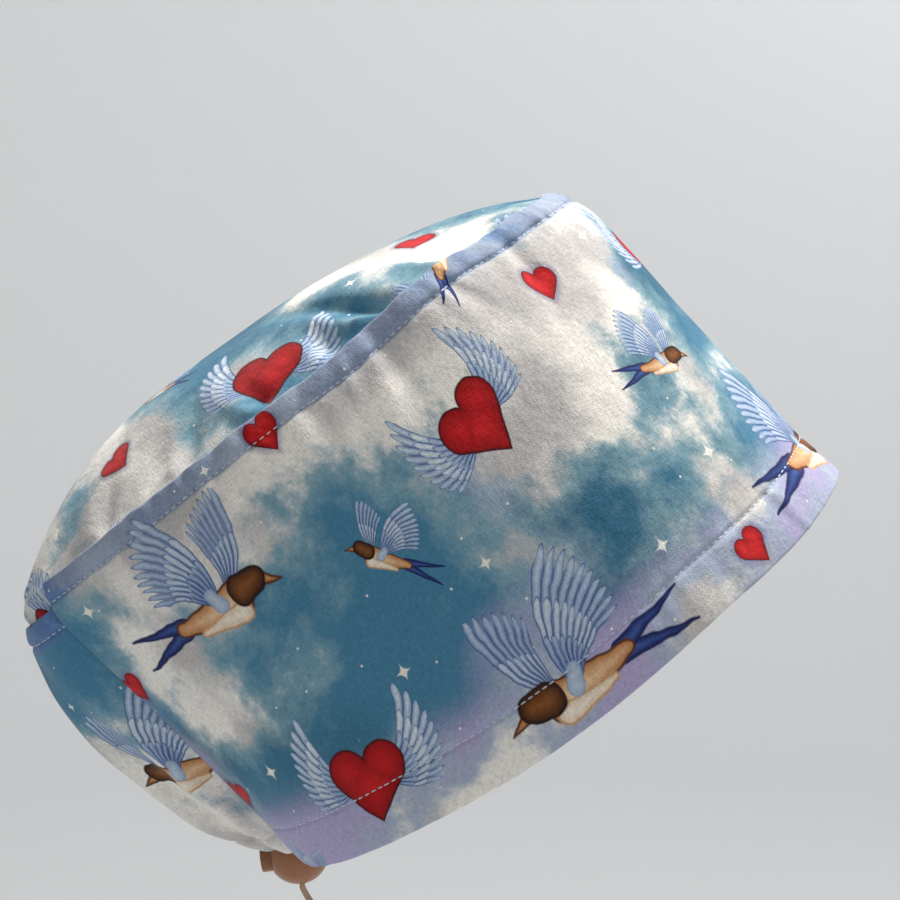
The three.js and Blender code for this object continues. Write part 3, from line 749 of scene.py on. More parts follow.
@dataclass(frozen=True)
class PrintedCotton:
    """Printed cotton poplin: a watercolour sky with birds, winged hearts and sparkles, and slubby threads."""

    deep_sky: str = "#2b6580"
    sky: str = "#4a86a6"
    powder: str = "#a4c3ca"
    shaded_cloud: str = "#c9c5c4"
    cloud: str = "#faf6ef"
    lavender: str = "#b7aed6"
    slate: str = "#5f7db2"
    star: str = "#fbf8ee"
    halo: str = "#5a4a86"
    wrong_side: str = "#d3d8da"
    cloud_scale: float = 1.15
    navy: Paint = Paint("#18235a", "#1f3070", "#3f5a9e", 0.05)
    quill: Paint = Paint("#475a92", "#8fa9cd", "#d2dfeb", 0.06, 0.009)
    covert: Paint = Paint("#5a6ea0", "#b4c7de", "#eef3f4", 0.06, 0.009)
    down: Paint = Paint("#8fa6c8", "#a5b9d4", "#c0d0e2", 0.06, 0.008)
    tan: Paint = Paint("#5a3420", "#c98a58", "#f0cda4", 0.14)
    cream: Paint = Paint("#d3a67a", "#efd9bd", "#fbf1e0", 0.07)
    brown: Paint = Paint("#26140c", "#4a2813", "#8a5228", 0.12)
    red: Paint = Paint("#4a0610", "#a10812", "#cf1a20", 0.3)
    bird_tail: tuple[tuple[str, tuple[float, ...]], ...] = (
        ("navy", (-0.36, -0.10, 0.09, -1.06, -0.42, 0.012)),
        ("navy", (-0.36, -0.04, 0.09, -1.12, -0.08, 0.012)),
    )
    bird_body: tuple[tuple[str, tuple[float, ...]], ...] = (
        ("tan", (-0.40, -0.08, 0.08, 0.30, 0.02, 0.21)),
        ("cream", (-0.16, -0.17, 0.04, 0.36, -0.08, 0.11)),
        ("tan", (0.66, 0.15, 0.07, 0.88, 0.10, 0.008)),
        ("brown", (0.42, 0.12, 0.16, 0.57, 0.17, 0.14)),
    )
    shoulder: tuple[tuple[str, tuple[float, ...]], ...] = (("down", (0.14, 0.04, 0.09, 0.07, 0.15, 0.07)),)
    far_wing: Wing = Wing((0.26, 0.04), 64.0, 40.0, 0.45, -0.22, (("quill", 0.96, 7), ("covert", 0.58, 6)))
    near_wing: Wing = Wing(
        (0.12, 0.00), 106.0, 66.0, 0.62, -0.26, (("quill", 1.0, 10), ("covert", 0.68, 9), ("quill", 0.44, 7))
    )
    heart_wing: Wing = Wing(
        (0.20, -0.04), 2.0, 70.0, 0.34, 0.24, (("quill", 1.18, 10), ("covert", 0.90, 9), ("quill", 0.66, 8))
    )
    heart_size: float = 0.66
    small_heart_size: float = 0.86
    thread_pitch: float = 0.6
    roughness: float = 0.88
    repeat: PrintRepeat = field(default_factory=PrintRepeat)

    @staticmethod
    def stroke(sheet: ShaderSheet, place: Wire, row: Sequence[float]) -> Wire:
        """How far a place lies outside a brush stroke, given as x, y and half width at both ends."""
        x0, y0, r0, x1, y1, r1 = row
        run = (x1 - x0, y1 - y0)
        size = run[0] ** 2 + run[1] ** 2
        arm = sheet.vector("SUBTRACT", place, (x0, y0, 0.0))
        share = sheet.dot(arm, (run[0] / size, run[1] / size, 0.0)).scaled(1.0, 0.0, clamp=True)
        rest = sheet.vector("MULTIPLY_ADD", share, (-run[0], -run[1], 0.0), arm)
        return sheet.vector("LENGTH", rest, output="Value") - share.scaled(r1 - r0, r0)

    def fly(self, sheet: ShaderSheet, under: Wire, place: Wire, wing: Wing) -> Wire:
        """Paints a wing over what is there, its longest row of feathers first."""
        heading, half = math.radians(wing.heading), math.radians(wing.spread / 2)
        arm = sheet.vector("SUBTRACT", place, (*wing.root, 0.0))
        reach = sheet.vector("LENGTH", arm, output="Value")
        along = sheet.dot(arm, (math.cos(heading), math.sin(heading), 0.0))
        across = sheet.dot(arm, (-math.sin(heading), math.cos(heading), 0.0))
        turn = across.angle(along) - reach * wing.curl
        flank = (turn.size() - half) * reach
        for name, length, count in wing.rows:
            side = turn.scaled(count / (2 * half), count / 2).fraction().scaled(2.0, -1.0).size()
            tip = reach - turn.scaled(wing.lean * length / half, length) + side * side * (wing.rounding * length)
            rib = (side - 1.0) * reach * (half / count)
            under = self.lay(sheet, under, tip.most(rib).most(flank), getattr(self, name))
        return under

    @staticmethod
    def lay(sheet: ShaderSheet, under: Wire, far: Wire, paint: Paint) -> Wire:
        """Paints a shape over what is there.

        Args:
            sheet: The material's sheet.
            under: The colour so far.
            far: How far each place lies outside the shape.
            paint: The shape's colours.

        Returns:
            The colour with the shape on it.
        """
        full = paint.deep + paint.line_width
        edge = paint.line_width / full
        inside = far.scaled(-1.0 / full, 0.0, clamp=True)
        line, shade, light = colour(paint.line), colour(paint.shade), colour(paint.light)
        stops = [(0.0, line), (edge * 0.8, line), (min(edge + 0.1, 0.9), shade), (1.0, light)]
        return sheet.mix(far.scaled(-60.0, 0.5, clamp=True), under, sheet.ramp(inside, stops))

    @staticmethod
    def mirrored(sheet: ShaderSheet, place: Wire) -> tuple[Wire, Wire, Wire]:
        """A place with its x made positive: x, y and both."""
        x, y = sheet.part(place, 0).size(), sheet.part(place, 1)
        return x, y, sheet.node("ShaderNodeCombineXYZ", {}, {0: x, 1: y})

    @staticmethod
    def heart(sheet: ShaderSheet, x: Wire, y: Wire, both: Wire, size: float) -> Wire:
        """How far a mirrored place lies outside a heart: two lobes over a wedge whose sides touch them."""
        lobe = sheet.vector("DISTANCE", both, (0.46 * size, 0.30 * size, 0.0), output="Value") - 0.53 * size
        flank = x.scaled(0.7236, -0.6556 * size) - y * 0.69
        cap = x.scaled(0.69, -0.5339 * size) + y * 0.7236
        return lobe.least(flank.most(cap).most(y - 0.5 * size))

    def motifs(self, sheet: ShaderSheet, under: Wire, cloth: Wire) -> Wire:
        """Paints every motif over the sky."""
        shake = {"Vector": cloth, "Scale": 14.0, "Detail": 1.0}
        wobble = sheet.node("ShaderNodeTexNoise", {"noise_dimensions": "2D"}, shake, "Color")
        wobble = sheet.vector("MULTIPLY_ADD", wobble, (0.05, 0.05, 0.0), (-0.025, -0.025, 0.0))
        place = sheet.vector("ADD", sheet.uv("motif"), wobble)

        def own(motif: Motif) -> Wire:
            return sheet.vector("SUBTRACT", place, (self.repeat.cell * motif.value[0], 0.0, 0.0))

        def daub(under: Wire, strokes: tuple[tuple[str, tuple[float, ...]], ...]) -> Wire:
            for name, row in strokes:
                under = self.lay(sheet, under, self.stroke(sheet, at, row), getattr(self, name))
            return under

        at = own(Motif.BIRD)
        under = self.fly(sheet, daub(under, self.bird_tail), at, self.far_wing)
        under = self.fly(sheet, daub(under, self.bird_body), at, self.near_wing)
        under = daub(under, self.shoulder)
        x, y, both = self.mirrored(sheet, own(Motif.WINGED_HEART))
        under = self.fly(sheet, under, both, self.heart_wing)
        under = self.lay(sheet, under, self.heart(sheet, x, y, both, self.heart_size), self.red)
        x, y, both = self.mirrored(sheet, own(Motif.HEART))
        far = self.heart(sheet, x, y, both, self.small_heart_size)
        halo = far.scaled(-3.4, 1.0, clamp=True) * 0.55
        under = self.lay(sheet, sheet.mix(halo, under, colour(self.halo)), far, self.red)
        x, y, _ = self.mirrored(sheet, own(Motif.SPARKLE))
        star = (x.root() + y.size().root()).scaled(-5.0, 5.3, clamp=True)
        return sheet.mix(star * 0.95, under, colour(self.star))

    def heaven(self, sheet: ShaderSheet, cloth: Wire, tone: Wire) -> Wire:
        """The painted sky under the motifs: clouds on blue, on lavender at the hem and on slate at the seam."""
        depth = sheet.noise(sheet.vector("ADD", cloth, (3.1, 9.4, 0.0)), 0.9, 2.0)
        blue = sheet.mix(depth.rise(0.36, 0.62), colour(self.deep_sky), colour(self.sky))
        blush = sheet.noise(sheet.vector("ADD", cloth, (7.3, 2.1, 0.0)), 1.0, 2.0)
        blue = sheet.mix(blush.rise(0.56, 0.68) * 0.75, blue, colour(self.lavender))
        blue = sheet.mix(tone.scaled(-1.0, 0.0).rise(0.0, 0.9), blue, colour(self.lavender))
        blue = sheet.mix(tone.rise(0.0, 0.9) * 0.9, blue, colour(self.slate))
        billow = sheet.noise(cloth, self.cloud_scale, 8.0, 0.6, 0.1)
        body = billow.rise(0.498, 0.588)
        shading = sheet.noise(sheet.vector("ADD", cloth, (0.05, 0.09, 0.0)), self.cloud_scale * 2.2, 4.0)
        white = sheet.mix(shading.rise(0.36, 0.60), colour(self.shaded_cloud), colour(self.cloud))
        haze = billow.rise(0.41, 0.53) * tone.rise(0.1, 1.0).scaled(-0.45, 0.55)
        hue = sheet.mix(haze, blue, colour(self.powder))
        hue = sheet.mix(body * tone.rise(0.1, 1.0).scaled(-0.68, 1.0), hue, white)
        dots = {"voronoi_dimensions": "2D", "feature": "F1"}
        near = sheet.node("ShaderNodeTexVoronoi", dots, {"Vector": cloth, "Scale": 6.0}, "Distance")
        some = sheet.node("ShaderNodeTexVoronoi", dots, {"Vector": cloth, "Scale": 6.0}, "Color")
        speck = near.scaled(-90.0, 2.6, clamp=True) * sheet.part(some, 0).rise(0.45, 0.55)
        return sheet.mix(speck * 0.9, hue, colour(self.star))

    def material(self) -> bpy.types.Material:
        """The cloth's material. Its maps give the place on the cloth and in the motif, in decimetres and units."""
        sheet = ShaderSheet("printed cotton poplin")
        cloth, tone = sheet.uv("cloth"), sheet.value("tone")
        hue = self.motifs(sheet, self.heaven(sheet, cloth, tone), cloth)
        threads = 100.0 / self.thread_pitch
        across = (sheet.part(cloth, 0) * (math.pi * threads)).sine()
        along = (sheet.part(cloth, 1) * (math.pi * threads)).sine()
        warp = sheet.noise(sheet.vector("MULTIPLY", cloth, (threads, 48.0, 0.0)), 1.0, 0.0)
        weft = sheet.noise(sheet.vector("MULTIPLY", cloth, (48.0, threads, 0.0)), 1.0, 0.0)
        weave = warp + weft + across * along * 0.22
        shade = weave.scaled(0.24, 0.76)
        grain = sheet.node("ShaderNodeCombineColor", {}, {0: shade, 1: shade, 2: shade})
        hue = sheet.mix(1.0, hue, grain, "MULTIPLY")
        hue = sheet.mix(sheet.value("wrong_side") * 0.62, hue, colour(self.wrong_side))
        crease = sheet.bump(sheet.noise(cloth, 13.0, 3.0, 0.55), 0.4, 0.0012)
        normal = sheet.bump(weave, 0.5, 0.0001, crease)
        return sheet.feed(
            Base_Color=hue, Roughness=self.roughness, Normal=normal, Sheen_Weight=0.12, Specular_IOR_Level=0.25
        )


@dataclass(frozen=True)
class Thread:
    """Sewing thread."""

    hue: str = "#dce7f3"
    shade: str = "#a7bad6"
    roughness: float = 0.7

    def material(self) -> bpy.types.Material:
        """The thread's material."""
        sheet = ShaderSheet("topstitch thread")
        place = sheet.node("ShaderNodeTexCoord", {}, {}, "Object")
        fuzz = sheet.node("ShaderNodeTexNoise", {}, {"Vector": place, "Scale": 900.0})
        hue = sheet.mix(fuzz.rise(0.35, 0.65) * 0.3, colour(self.hue), colour(self.shade))
        return sheet.feed(Base_Color=hue, Roughness=self.roughness, Normal=sheet.bump(fuzz, 0.4, 0.0001))


@dataclass(frozen=True)
class BraidedCord:
    """A fine braided cord, its map running round it in half turns and along it in millimetres, with painted shade in
    the braid's grooves.
    """

    hue: str = "#d9b89d"
    # colour of the painted shade in the braid's grooves
    shade: str = "#9c7960"
    turns: float = 3.0
    pitch: float = 1.5
    roughness: float = 0.75

    def material(self) -> bpy.types.Material:
        """The cord's material."""
        sheet = ShaderSheet("braided cord")
        place = sheet.uv("cloth")
        around = sheet.part(place, 0) * (math.pi * self.turns)
        along = sheet.part(place, 1) * (2 * math.pi / self.pitch)
        height = ((around + along).sine() * (around - along).sine()).size().root()
        # painted shade: low places of the braid take the darker shade colour, high places the lighter hue
        hue = sheet.mix(height.rise(0.1, 0.8), colour(self.shade), colour(self.hue))
        return sheet.feed(Base_Color=hue, Roughness=self.roughness, Normal=sheet.bump(height, 0.8, 0.00018))


@dataclass(frozen=True)
class MouldedPlastic:
    """Satin moulded plastic."""

    name: str
    hue: str
    roughness: float = 0.36

    def material(self) -> bpy.types.Material:
        """The plastic's material."""
        sheet = ShaderSheet(self.name)
        place = sheet.node("ShaderNodeTexCoord", {}, {}, "Object")
        fine = sheet.node("ShaderNodeTexNoise", {}, {"Vector": place, "Scale": 700.0, "Detail": 3.0})
        rough = fine.scaled(0.14, self.roughness - 0.07)
        base = colour(self.hue)
        hue = sheet.mix(fine.rise(0.3, 0.7) * 0.25, base, tuple(0.8 * part for part in base[:3]) + (1.0,))
        normal = sheet.bump(fine, 0.15, 0.00005)
        return sheet.feed(Base_Color=hue, Roughness=rough, Normal=normal, Specular_IOR_Level=0.45)


@dataclass
class Shell:
    """A mesh in the making: corners in the upright frame, faces, and what its vertices and cloth carry."""

    points: Array
    faces: Array
    cloth: Array
    tone: Array | None = None
    wrong_side: Array | None = None
    motif: Array | None = None

    def build(self, name: str, form: CapForm, material: bpy.types.Material) -> bpy.types.Object:
        """Makes the object.

        Args:
            name: The piece's name.
            form: Gives the way from the upright frame to the object's.
            material: The piece's material.

        Returns:
            The object, at the origin.
        """
        mesh = bpy.data.meshes.new(name)
        rows = self.faces.tolist()
        mesh.from_pydata(form.to_row(self.points).tolist(), [], [list(dict.fromkeys(face)) for face in rows])
        used = np.array([k not in face[:i] for face in rows for i, k in enumerate(face)])
        self._map(mesh, "cloth", self.cloth[self.faces.ravel()][used])
        if self.motif is not None:
            self._map(mesh, "motif", self.motif.reshape(-1, 2)[used])
        for key in ("tone", "wrong_side"):
            values = getattr(self, key)
            if values is not None:
                mesh.attributes.new(key, "FLOAT", "POINT").data.foreach_set("value", values.astype(np.float32))
        mesh.shade_smooth()
        mesh.materials.append(material)
        piece = bpy.data.objects.new(name, mesh)
        bpy.context.scene.collection.objects.link(piece)
        LOG.info("%s: %d faces", name, len(rows))
        return piece

    @staticmethod
    def _map(mesh: bpy.types.Mesh, name: str, places: Array) -> None:
        """Adds a UV map."""
        mesh.uv_layers.new(name=name).data.foreach_set("uv", places.astype(np.float32).ravel())


def grid_faces(columns: int, rows: int, round_columns: bool = False, round_rows: bool = False) -> Array:
    """Faces of a grid whose vertices run column by column, facing along column direction x row direction."""
    i = np.arange(columns if round_columns else columns - 1)[:, None]
    j = np.arange(rows if round_rows else rows - 1)[None, :]
    near, far = i * rows, (i + 1) % columns * rows
    up = (j + 1) % rows
    return np.stack([near + j, far + j, far + up, near + up], -1).reshape(-1, 4)


@dataclass
class ClothPiece:
    """A cut of the printed cloth: how it lies on the print, and its seams."""

    form: CapForm
    material: bpy.types.Material
    print_turn: float = 0.0
    print_shift: tuple[float, float] = (0.0, 0.0)
    repeat: PrintRepeat = field(default_factory=PrintRepeat)
    groove: float = 0.7
    pucker: float = 0.8
    puff: float = 0.6
    name: str = "cloth"
    drapes: tuple[Drape, ...] = ()
    seam_rows: tuple[float, ...] = (
        16, 14, 12.3, 10.9, 9.8, 8.9, 8.2, 7.7, 7.3, 6.9, 6.5, 6.1, 5.7, 5.2, 4.5, 3.7,
    )

    def sew(self, points: Array, faces: Array, flat: Array, tone: Array, wrong_side: Array) -> bpy.types.Object:
        """Prints the cut and makes its object.

        Args:
            points: Corners in the upright frame.
            faces: Vertex indices, one row of four for each face.
            flat: Each corner's place on the cut, in millimetres.
            tone: How far each corner is towards slate, or below 0 towards lavender.
            wrong_side: How far each corner is on the cloth's wrong side.

        Returns:
            The object, at the origin.
        """
        cloth = flat @ plane_turn(self.print_turn).T + self.print_shift
        shell = Shell(points, faces, cloth / MAP_UNIT, tone, wrong_side, self.repeat.local(cloth, faces))
        return shell.build(self.name, self.form, self.material)

    def drape(self, across: Array, up: Array) -> Array:
        """The cloth's soft unevenness."""
        return sum(drape.at(across, up) for drape in self.drapes)

    def seam(self, along: Array, depth: Array, line: float, seed: int, free: float = 10.0) -> Array:
        """How a sewn line draws the cloth in.

        Args:
            along: Lengths along the seam.
            depth: Depths below the cloth's edge.
            line: The stitch line's depth.
            seed: Chooses the puckers.
            free: How far below the stitches the puckers run out.

        Returns:
            Heights over the cloth's face.
        """
        below = depth - line
        strip = np.where(below < 0, np.sin(np.pi * np.clip(depth / line, 0, 1)), 0.0)
        fade = np.where(below < 0, 0.55 + 0.45 * bell(below, line * 0.5), np.exp(-np.maximum(below, 0) / (free * 0.45)))
        lean = along + below * 0.35 * ripple(along, 31.0, seed + 7)
        wave = ripple(lean, 3.6, seed) * (0.65 + 0.35 * ripple(along, 23.0, seed + 3))
        return self.puff * strip - self.groove * bell(below, 0.75) + self.pucker * fade * wave

    @staticmethod
    def profile(wall: float, top: float, face: Array, steps: int = 3) -> tuple[Array, Array, int]:
        """The loop that a cut's thickness makes from its lower edge up the outer face and back down the inner.

        Args:
            wall: The cloth's thickness.
            top: The upper edge's height.
            face: Heights of the face's rows between the two folded edges.
            steps: Rows in each quarter of a folded edge.

        Returns:
            The rows' heights, their shares of the way through the cloth, and how many rows the outer face has.
        """
        angle = np.linspace(0.0, np.pi / 2, steps + 1)[:-1]
        rise, back = wall / 2 * (1 - np.sin(angle)), (1 - np.cos(angle)) / 2
        outer = np.concatenate([rise[::-1], face, top - rise])
        share = np.concatenate([back[::-1], np.zeros(len(face)), back])
        height = np.concatenate([outer, [top], outer[::-1], [0.0]])
        return height, np.concatenate([share, [0.5], 1 - share[::-1], [0.5]]), len(outer)

    @staticmethod
    def loop_faces(columns: int, rows: int, outer: int) -> Array:
        """Faces of a cut whose every column is such a loop, its two ends closed."""
        body = grid_faces(columns, rows, round_rows=True)
        cap = [[j, j + 1, rows - 3 - j, rows - 2 - j] for j in range(outer - 1)]
        cap = np.array([*cap, [outer - 1, outer, outer + 1, outer + 1], [rows - 1, 0, rows - 2, rows - 2]])
        return np.concatenate([body, cap, cap[:, ::-1] + (columns - 1) * rows])


@dataclass
class SideBand(ClothPiece):
    """The deep band round the front and sides, with its hem and its topstitched upper edge."""

    columns: int = 560
    name: str = "side_band_cloth"
    print_shift: tuple[float, float] = (118.0, 22.0)
    drapes: tuple[Drape, ...] = (Drape(0.9, (37.0, 34.0), 5), Drape(0.4, (17.0, 40.0), 9, 0.4))

    def lift(self, signed: Array, height: Array) -> Array:
        """How far the cloth stands out from the plain form, at signed shares and heights in millimetres."""
        form = self.form
        s = signed * form.band_length()
        ends = ease((1 - np.abs(signed)) / 0.07)
        depth = np.maximum(form.band_height - height - form.allowance, 0.0)
        drape = self.drape(s, height) + sum(tuck.at(signed, depth, form.band_length()) for tuck in form.band_tucks)
        free = ease(height / 30.0) * ease((form.band_height - height) / 20.0)
        top = self.seam(s, form.band_height - height, form.allowance, 21)
        hem = self.seam(s, height, form.hem_depth, 40, 12.0) * 0.8
        share = ease((height - form.hem_depth * 1.2) / 30.0)
        return drape * ends * (0.25 + 0.75 * free) + top * share + hem * (1 - share)

    def wall_at(self, signed: Array, height: Array) -> Array:
        """The cloth's thickness, doubled where the hem is turned up."""
        form = self.form
        doubled = ease((form.hem_depth - height) / 0.5 + 0.5) * ease((form.hem_mouth - np.abs(signed)) * 250.0 + 0.5)
        return form.wall * (1 + doubled)

    def heights(self) -> Array:
        """Heights of the outer face's rows, close together at the hem's and the seam's stitches."""
        low = [1, 2, 3.4, 5, 7, 9, 11, 12.6, 13.8, 14.7, 15.3, 15.7, 16, 16.3, 16.7, 17.3, 18.2, 19.4, 21, 23, 25.5]
        high = [*self.seam_rows, 2.9, 2.1, 1.4, 0.9]
        top = self.form.band_height
        return np.concatenate([low, np.linspace(28.5, top - 18.5, 27), top - np.array(high)])

    def build(self) -> bpy.types.Object:
        """Makes the band as one closed shell."""
        form = self.form
        signed = np.linspace(-1.0, 1.0, self.columns)
        height, through_cloth, outer = self.profile(form.wall, form.band_height, self.heights())
        s, h = np.meshgrid(signed, height, indexing="ij")
        wall = self.wall_at(s, h)
        stand = self.lift(s, h) - through_cloth[None, :] * wall
        grid = form.band(signed, height / form.band_height, stand)
        edge = 0.35 * ripple(s * form.band_length(), 5.2, 17) + 0.45 * ripple(s * form.band_length(), 15.0, 18)
        grid[..., 2] += edge * ease((h - form.band_height + 12.0) / 10.0) * ease((1 - np.abs(s)) / 0.05)
        faces = self.loop_faces(self.columns, len(height), outer)
        flat = np.stack([s * form.band_length(), h], -1).reshape(-1, 2)
        below = form.band_height - h - form.allowance
        slate = (1 - 0.75 * ease(below / 1.2)) * (1 - ease(below / 9.0))
        hem = 1 - ease((h - 8.0) / 26.0)
        wrong = np.broadcast_to(ease(through_cloth * 1.6 - 0.3), h.shape).ravel()
        return self.sew(grid.reshape(-1, 3), faces, flat, (slate - hem).ravel(), wrong)

    def line(self, height: float, count: int = 1400, margin: float = 0.006) -> Array:
        """A line along the band's face at a height, for stitches."""
        signed = np.linspace(margin - 1.0, 1.0 - margin, count)
        lift = self.lift(signed[:, None], np.full((count, 1), height))
        return self.form.band(signed, np.array([height / self.form.band_height]), lift)[:, 0]


@dataclass
class BackPanel(ClothPiece):
    """The panel across the back, tucked under the band's back edges and gathered to the nape."""

    half_columns: int = 110
    tuck_columns: int = 6
    name: str = "back_panel_cloth"
    print_turn: float = 8.0
    print_shift: tuple[float, float] = (92.0, 128.0)
    half_width: float = 66.0
    drapes: tuple[Drape, ...] = (Drape(0.6, (14.0, 46.0), 31), Drape(0.35, (8.0, 60.0), 33, 0.2))

    def lift(self, across: Array, height: Array) -> Array:
        """How far the cloth stands out, at signed shares across and heights above the lower edge."""
        form = self.form
        s = across * self.half_width
        depth = form.panel_height - height
        near = ease((1 - np.abs(across)) / 0.06)
        drape = self.drape(s, height) * (0.3 + 0.7 * ease(depth / 25.0))
        top = self.seam(s, depth, form.allowance, 51, 14.0)
        low = self.seam(s, height, form.hem_depth * 0.55, 61, 18.0) * 0.8
        share = ease((height - 18.0) / 30.0)
        return (drape + top * share + low * (1 - share)) * near

    def grid(self, height: Array, setback: Array) -> tuple[Array, Array, Array]:
        """The panel's surface, from the wearer's left to the right.

        Args:
            height: Heights of the rows above the lower edge.
            setback: How far each row lies behind the outer face.

        Returns:
            The points, and each one's signed share across and height.
        """
        form = self.form
        tucked = np.linspace(-1.0, 0.0, self.tuck_columns)[:-1]
        across = np.concatenate([tucked, np.linspace(0.0, 1.0, self.half_columns)])
        halves = []
        for side in (-1, 1):
            s, h = np.meshgrid(side * (1 - across), height, indexing="ij")
            lift = self.lift(np.clip(s, -1, 1), h) - setback[None, :]
            points = form.panel_half(side, across, height / form.panel_height, lift)
            halves.append((points, s, h))
        left, right = halves
        return tuple(np.concatenate([a[:-1], b[::-1]]) for a, b in zip(left, right))

    def build(self) -> bpy.types.Object:
        """Makes the panel as one closed shell."""
        form = self.form
        top = form.panel_height
        low = [1, 2.2, 3.6, 5, 6.4, 7.4, 8, 8.4, 8.8, 9.2, 9.7, 10.5, 12, 14]
        high = [*self.seam_rows, 2.7, 1.7, 0.9]
        plain = np.concatenate([low, np.linspace(16.5, top - 18.5, 26), top - np.array(high)])
        height, through_cloth, outer = self.profile(form.wall, top, plain)
        points, across, h = self.grid(height, through_cloth * form.wall)
        faces = self.loop_faces(len(points), len(height), outer)[:, ::-1]
        flat = np.stack([across * self.half_width, h], -1).reshape(-1, 2)
        slate = 0.75 * (1 - ease((top - h - form.allowance) / 5.0))
        wrong = np.broadcast_to(ease(through_cloth * 1.6 - 0.3), h.shape).ravel()
        return self.sew(points.reshape(-1, 3), faces, flat, slate.ravel(), wrong)

    def line(self, depth: float) -> Array:
        """A line across the panel's face at a depth below its upper edge, for stitches."""
        points, across, _ = self.grid(np.array([self.form.panel_height - depth]), np.zeros(1))
        return through(points[:, 0][np.abs(across[:, 0]) < 0.985], 900)


@dataclass
class Crown(ClothPiece):
    """The domed oval on top, its edge turned down inside the band and the panel."""

    columns: int = 448
    name: str = "crown_cloth"
    print_turn: float = 90.0
    print_shift: tuple[float, float] = (30.0, 96.0)
    drapes: tuple[Drape, ...] = (Drape(0.9, (34.0, 34.0), 71), Drape(0.35, (15.0, 40.0), 73, 0.5))
    turned_rows: int = 5

    def face(self) -> tuple[Array, Array, Array]:
        """The outer face.

        Returns:
            The face's points, one row for each column round, from the allowance's foot to near the middle; the
            unit normals there; and each point's length up from the dome's base.
        """
        form = self.form
        last = form.band_columns + form.panel_columns
        edge = [form.crown_edge(1, k) for k in range(last, 0, -1)] + [form.crown_edge(-1, k) for k in range(last)]
        edge = through(np.array(edge), self.columns, closed=True)
        foot, rim, base, share = edge[:, :3], edge[:, 3:6], edge[:, 6:9], edge[:, 9]
        signed = np.where(base[:, 0] < 0, 1.0, -1.0) * share
        near = 1 - np.array([0, 0.005, 0.012, 0.02, 0.03, 0.042, 0.056, 0.072, 0.09, 0.11, 0.134, 0.16])
        rings = np.concatenate([near, np.linspace(0.81, 0.02, 36)])
        top = np.array([0.0, form.crown_middle, form.crown_height])
        front, back = form.crown_fullness
        full = front + (back - front) * ease(share / form.crown_back)
        dome = top + (base - top)[:, None, :] * rings[None, :, None]
        dome[..., 2] = top[2] + (base[:, 2] - top[2])[:, None] * rings[None, :] ** full[:, None]
        drop = sum(dent.at(signed[:, None], rings[None, :]) for dent in form.crown_dents)
        dome[..., 2] -= drop * np.minimum(1.0, (1 - rings) / 0.1)
        turned = foot[:, None, :] + (rim - foot)[:, None, :] * np.linspace(0, 1, self.turned_rows)[None, :, None]
        outer = np.concatenate([turned, dome], 1)
        normal = np.cross(np.roll(outer, -1, 0) - np.roll(outer, 1, 0), np.gradient(outer, axis=1))
        normal /= np.linalg.norm(normal, axis=-1, keepdims=True)
        normal *= np.sign(normal[:, -1, 2].mean())
        steps = np.linalg.norm(np.diff(outer, axis=1), axis=-1)
        depth = np.concatenate([np.zeros((len(outer), 1)), np.cumsum(steps, 1)], 1)
        depth -= depth[:, self.turned_rows : self.turned_rows + 1]
        along = lengths(base)[:, None]
        puckers = self.pucker * 0.8 * np.exp(-np.maximum(depth, 0) / 4.5) * ripple(along, 4.4, 77)
        soft = self.drape(outer[..., 0], outer[..., 1])
        deep = np.maximum(depth, 0.0)
        drawn = sum(tuck.at(signed[:, None], deep, form.band_length()) for tuck in form.crown_tucks)
        drawn = drawn * ease((depth - 0.8) / 4.0) + puckers * ease((depth - 0.4) / 2.5)
        lift = np.where(depth >= 0, drawn + soft * ease(depth / 14.0), -0.9 * ease(-depth / 2.0))
        return outer + normal * lift[..., None], normal, depth

    def build(self) -> bpy.types.Object:
        """Makes the crown as one closed shell."""
        form = self.form
        outer, normal, depth = self.face()
        inner = outer - normal * form.wall
        columns, rows = outer.shape[:2]
        loop = np.concatenate([outer, inner[:, ::-1]], 1)
        total = loop.shape[1]
        faces = grid_faces(columns, total, round_columns=True, round_rows=True)
        faces = faces[faces[:, 0] % total != rows - 1]
        i = np.arange(columns)
        after = (i + 1) % columns
        pole = np.full(columns, columns * total)
        tips = [
            np.stack([i * total + rows - 1, after * total + rows - 1, pole, pole], -1),
            np.stack([after * total + rows, i * total + rows, pole + 1, pole + 1], -1),
        ]
        faces = np.concatenate([faces, *tips])
        away = outer[:, self.turned_rows, :2] - [0.0, form.crown_middle]
        heading = away / np.linalg.norm(away, axis=1, keepdims=True)
        flat = heading[:, None, :] * (depth[:, -1:] - depth)[..., None]
        flat = np.concatenate([flat, flat[:, ::-1]], 1).reshape(-1, 2)
        flat = np.concatenate([flat, np.zeros((2, 2))])
        tone = 0.35 * (1 - ease(depth / 4.0))
        tone = np.concatenate([tone, tone[:, ::-1]], 1).ravel()
        wrong = np.concatenate([np.zeros_like(depth), np.ones_like(depth)], 1).ravel()
        summit = np.array([outer[:, -1].mean(0), inner[:, -1].mean(0)])
        points = np.concatenate([loop.reshape(-1, 3), summit])
        return self.sew(points, faces, flat, np.append(tone, [0.0, 0.0]), np.append(wrong, [0.0, 1.0]))


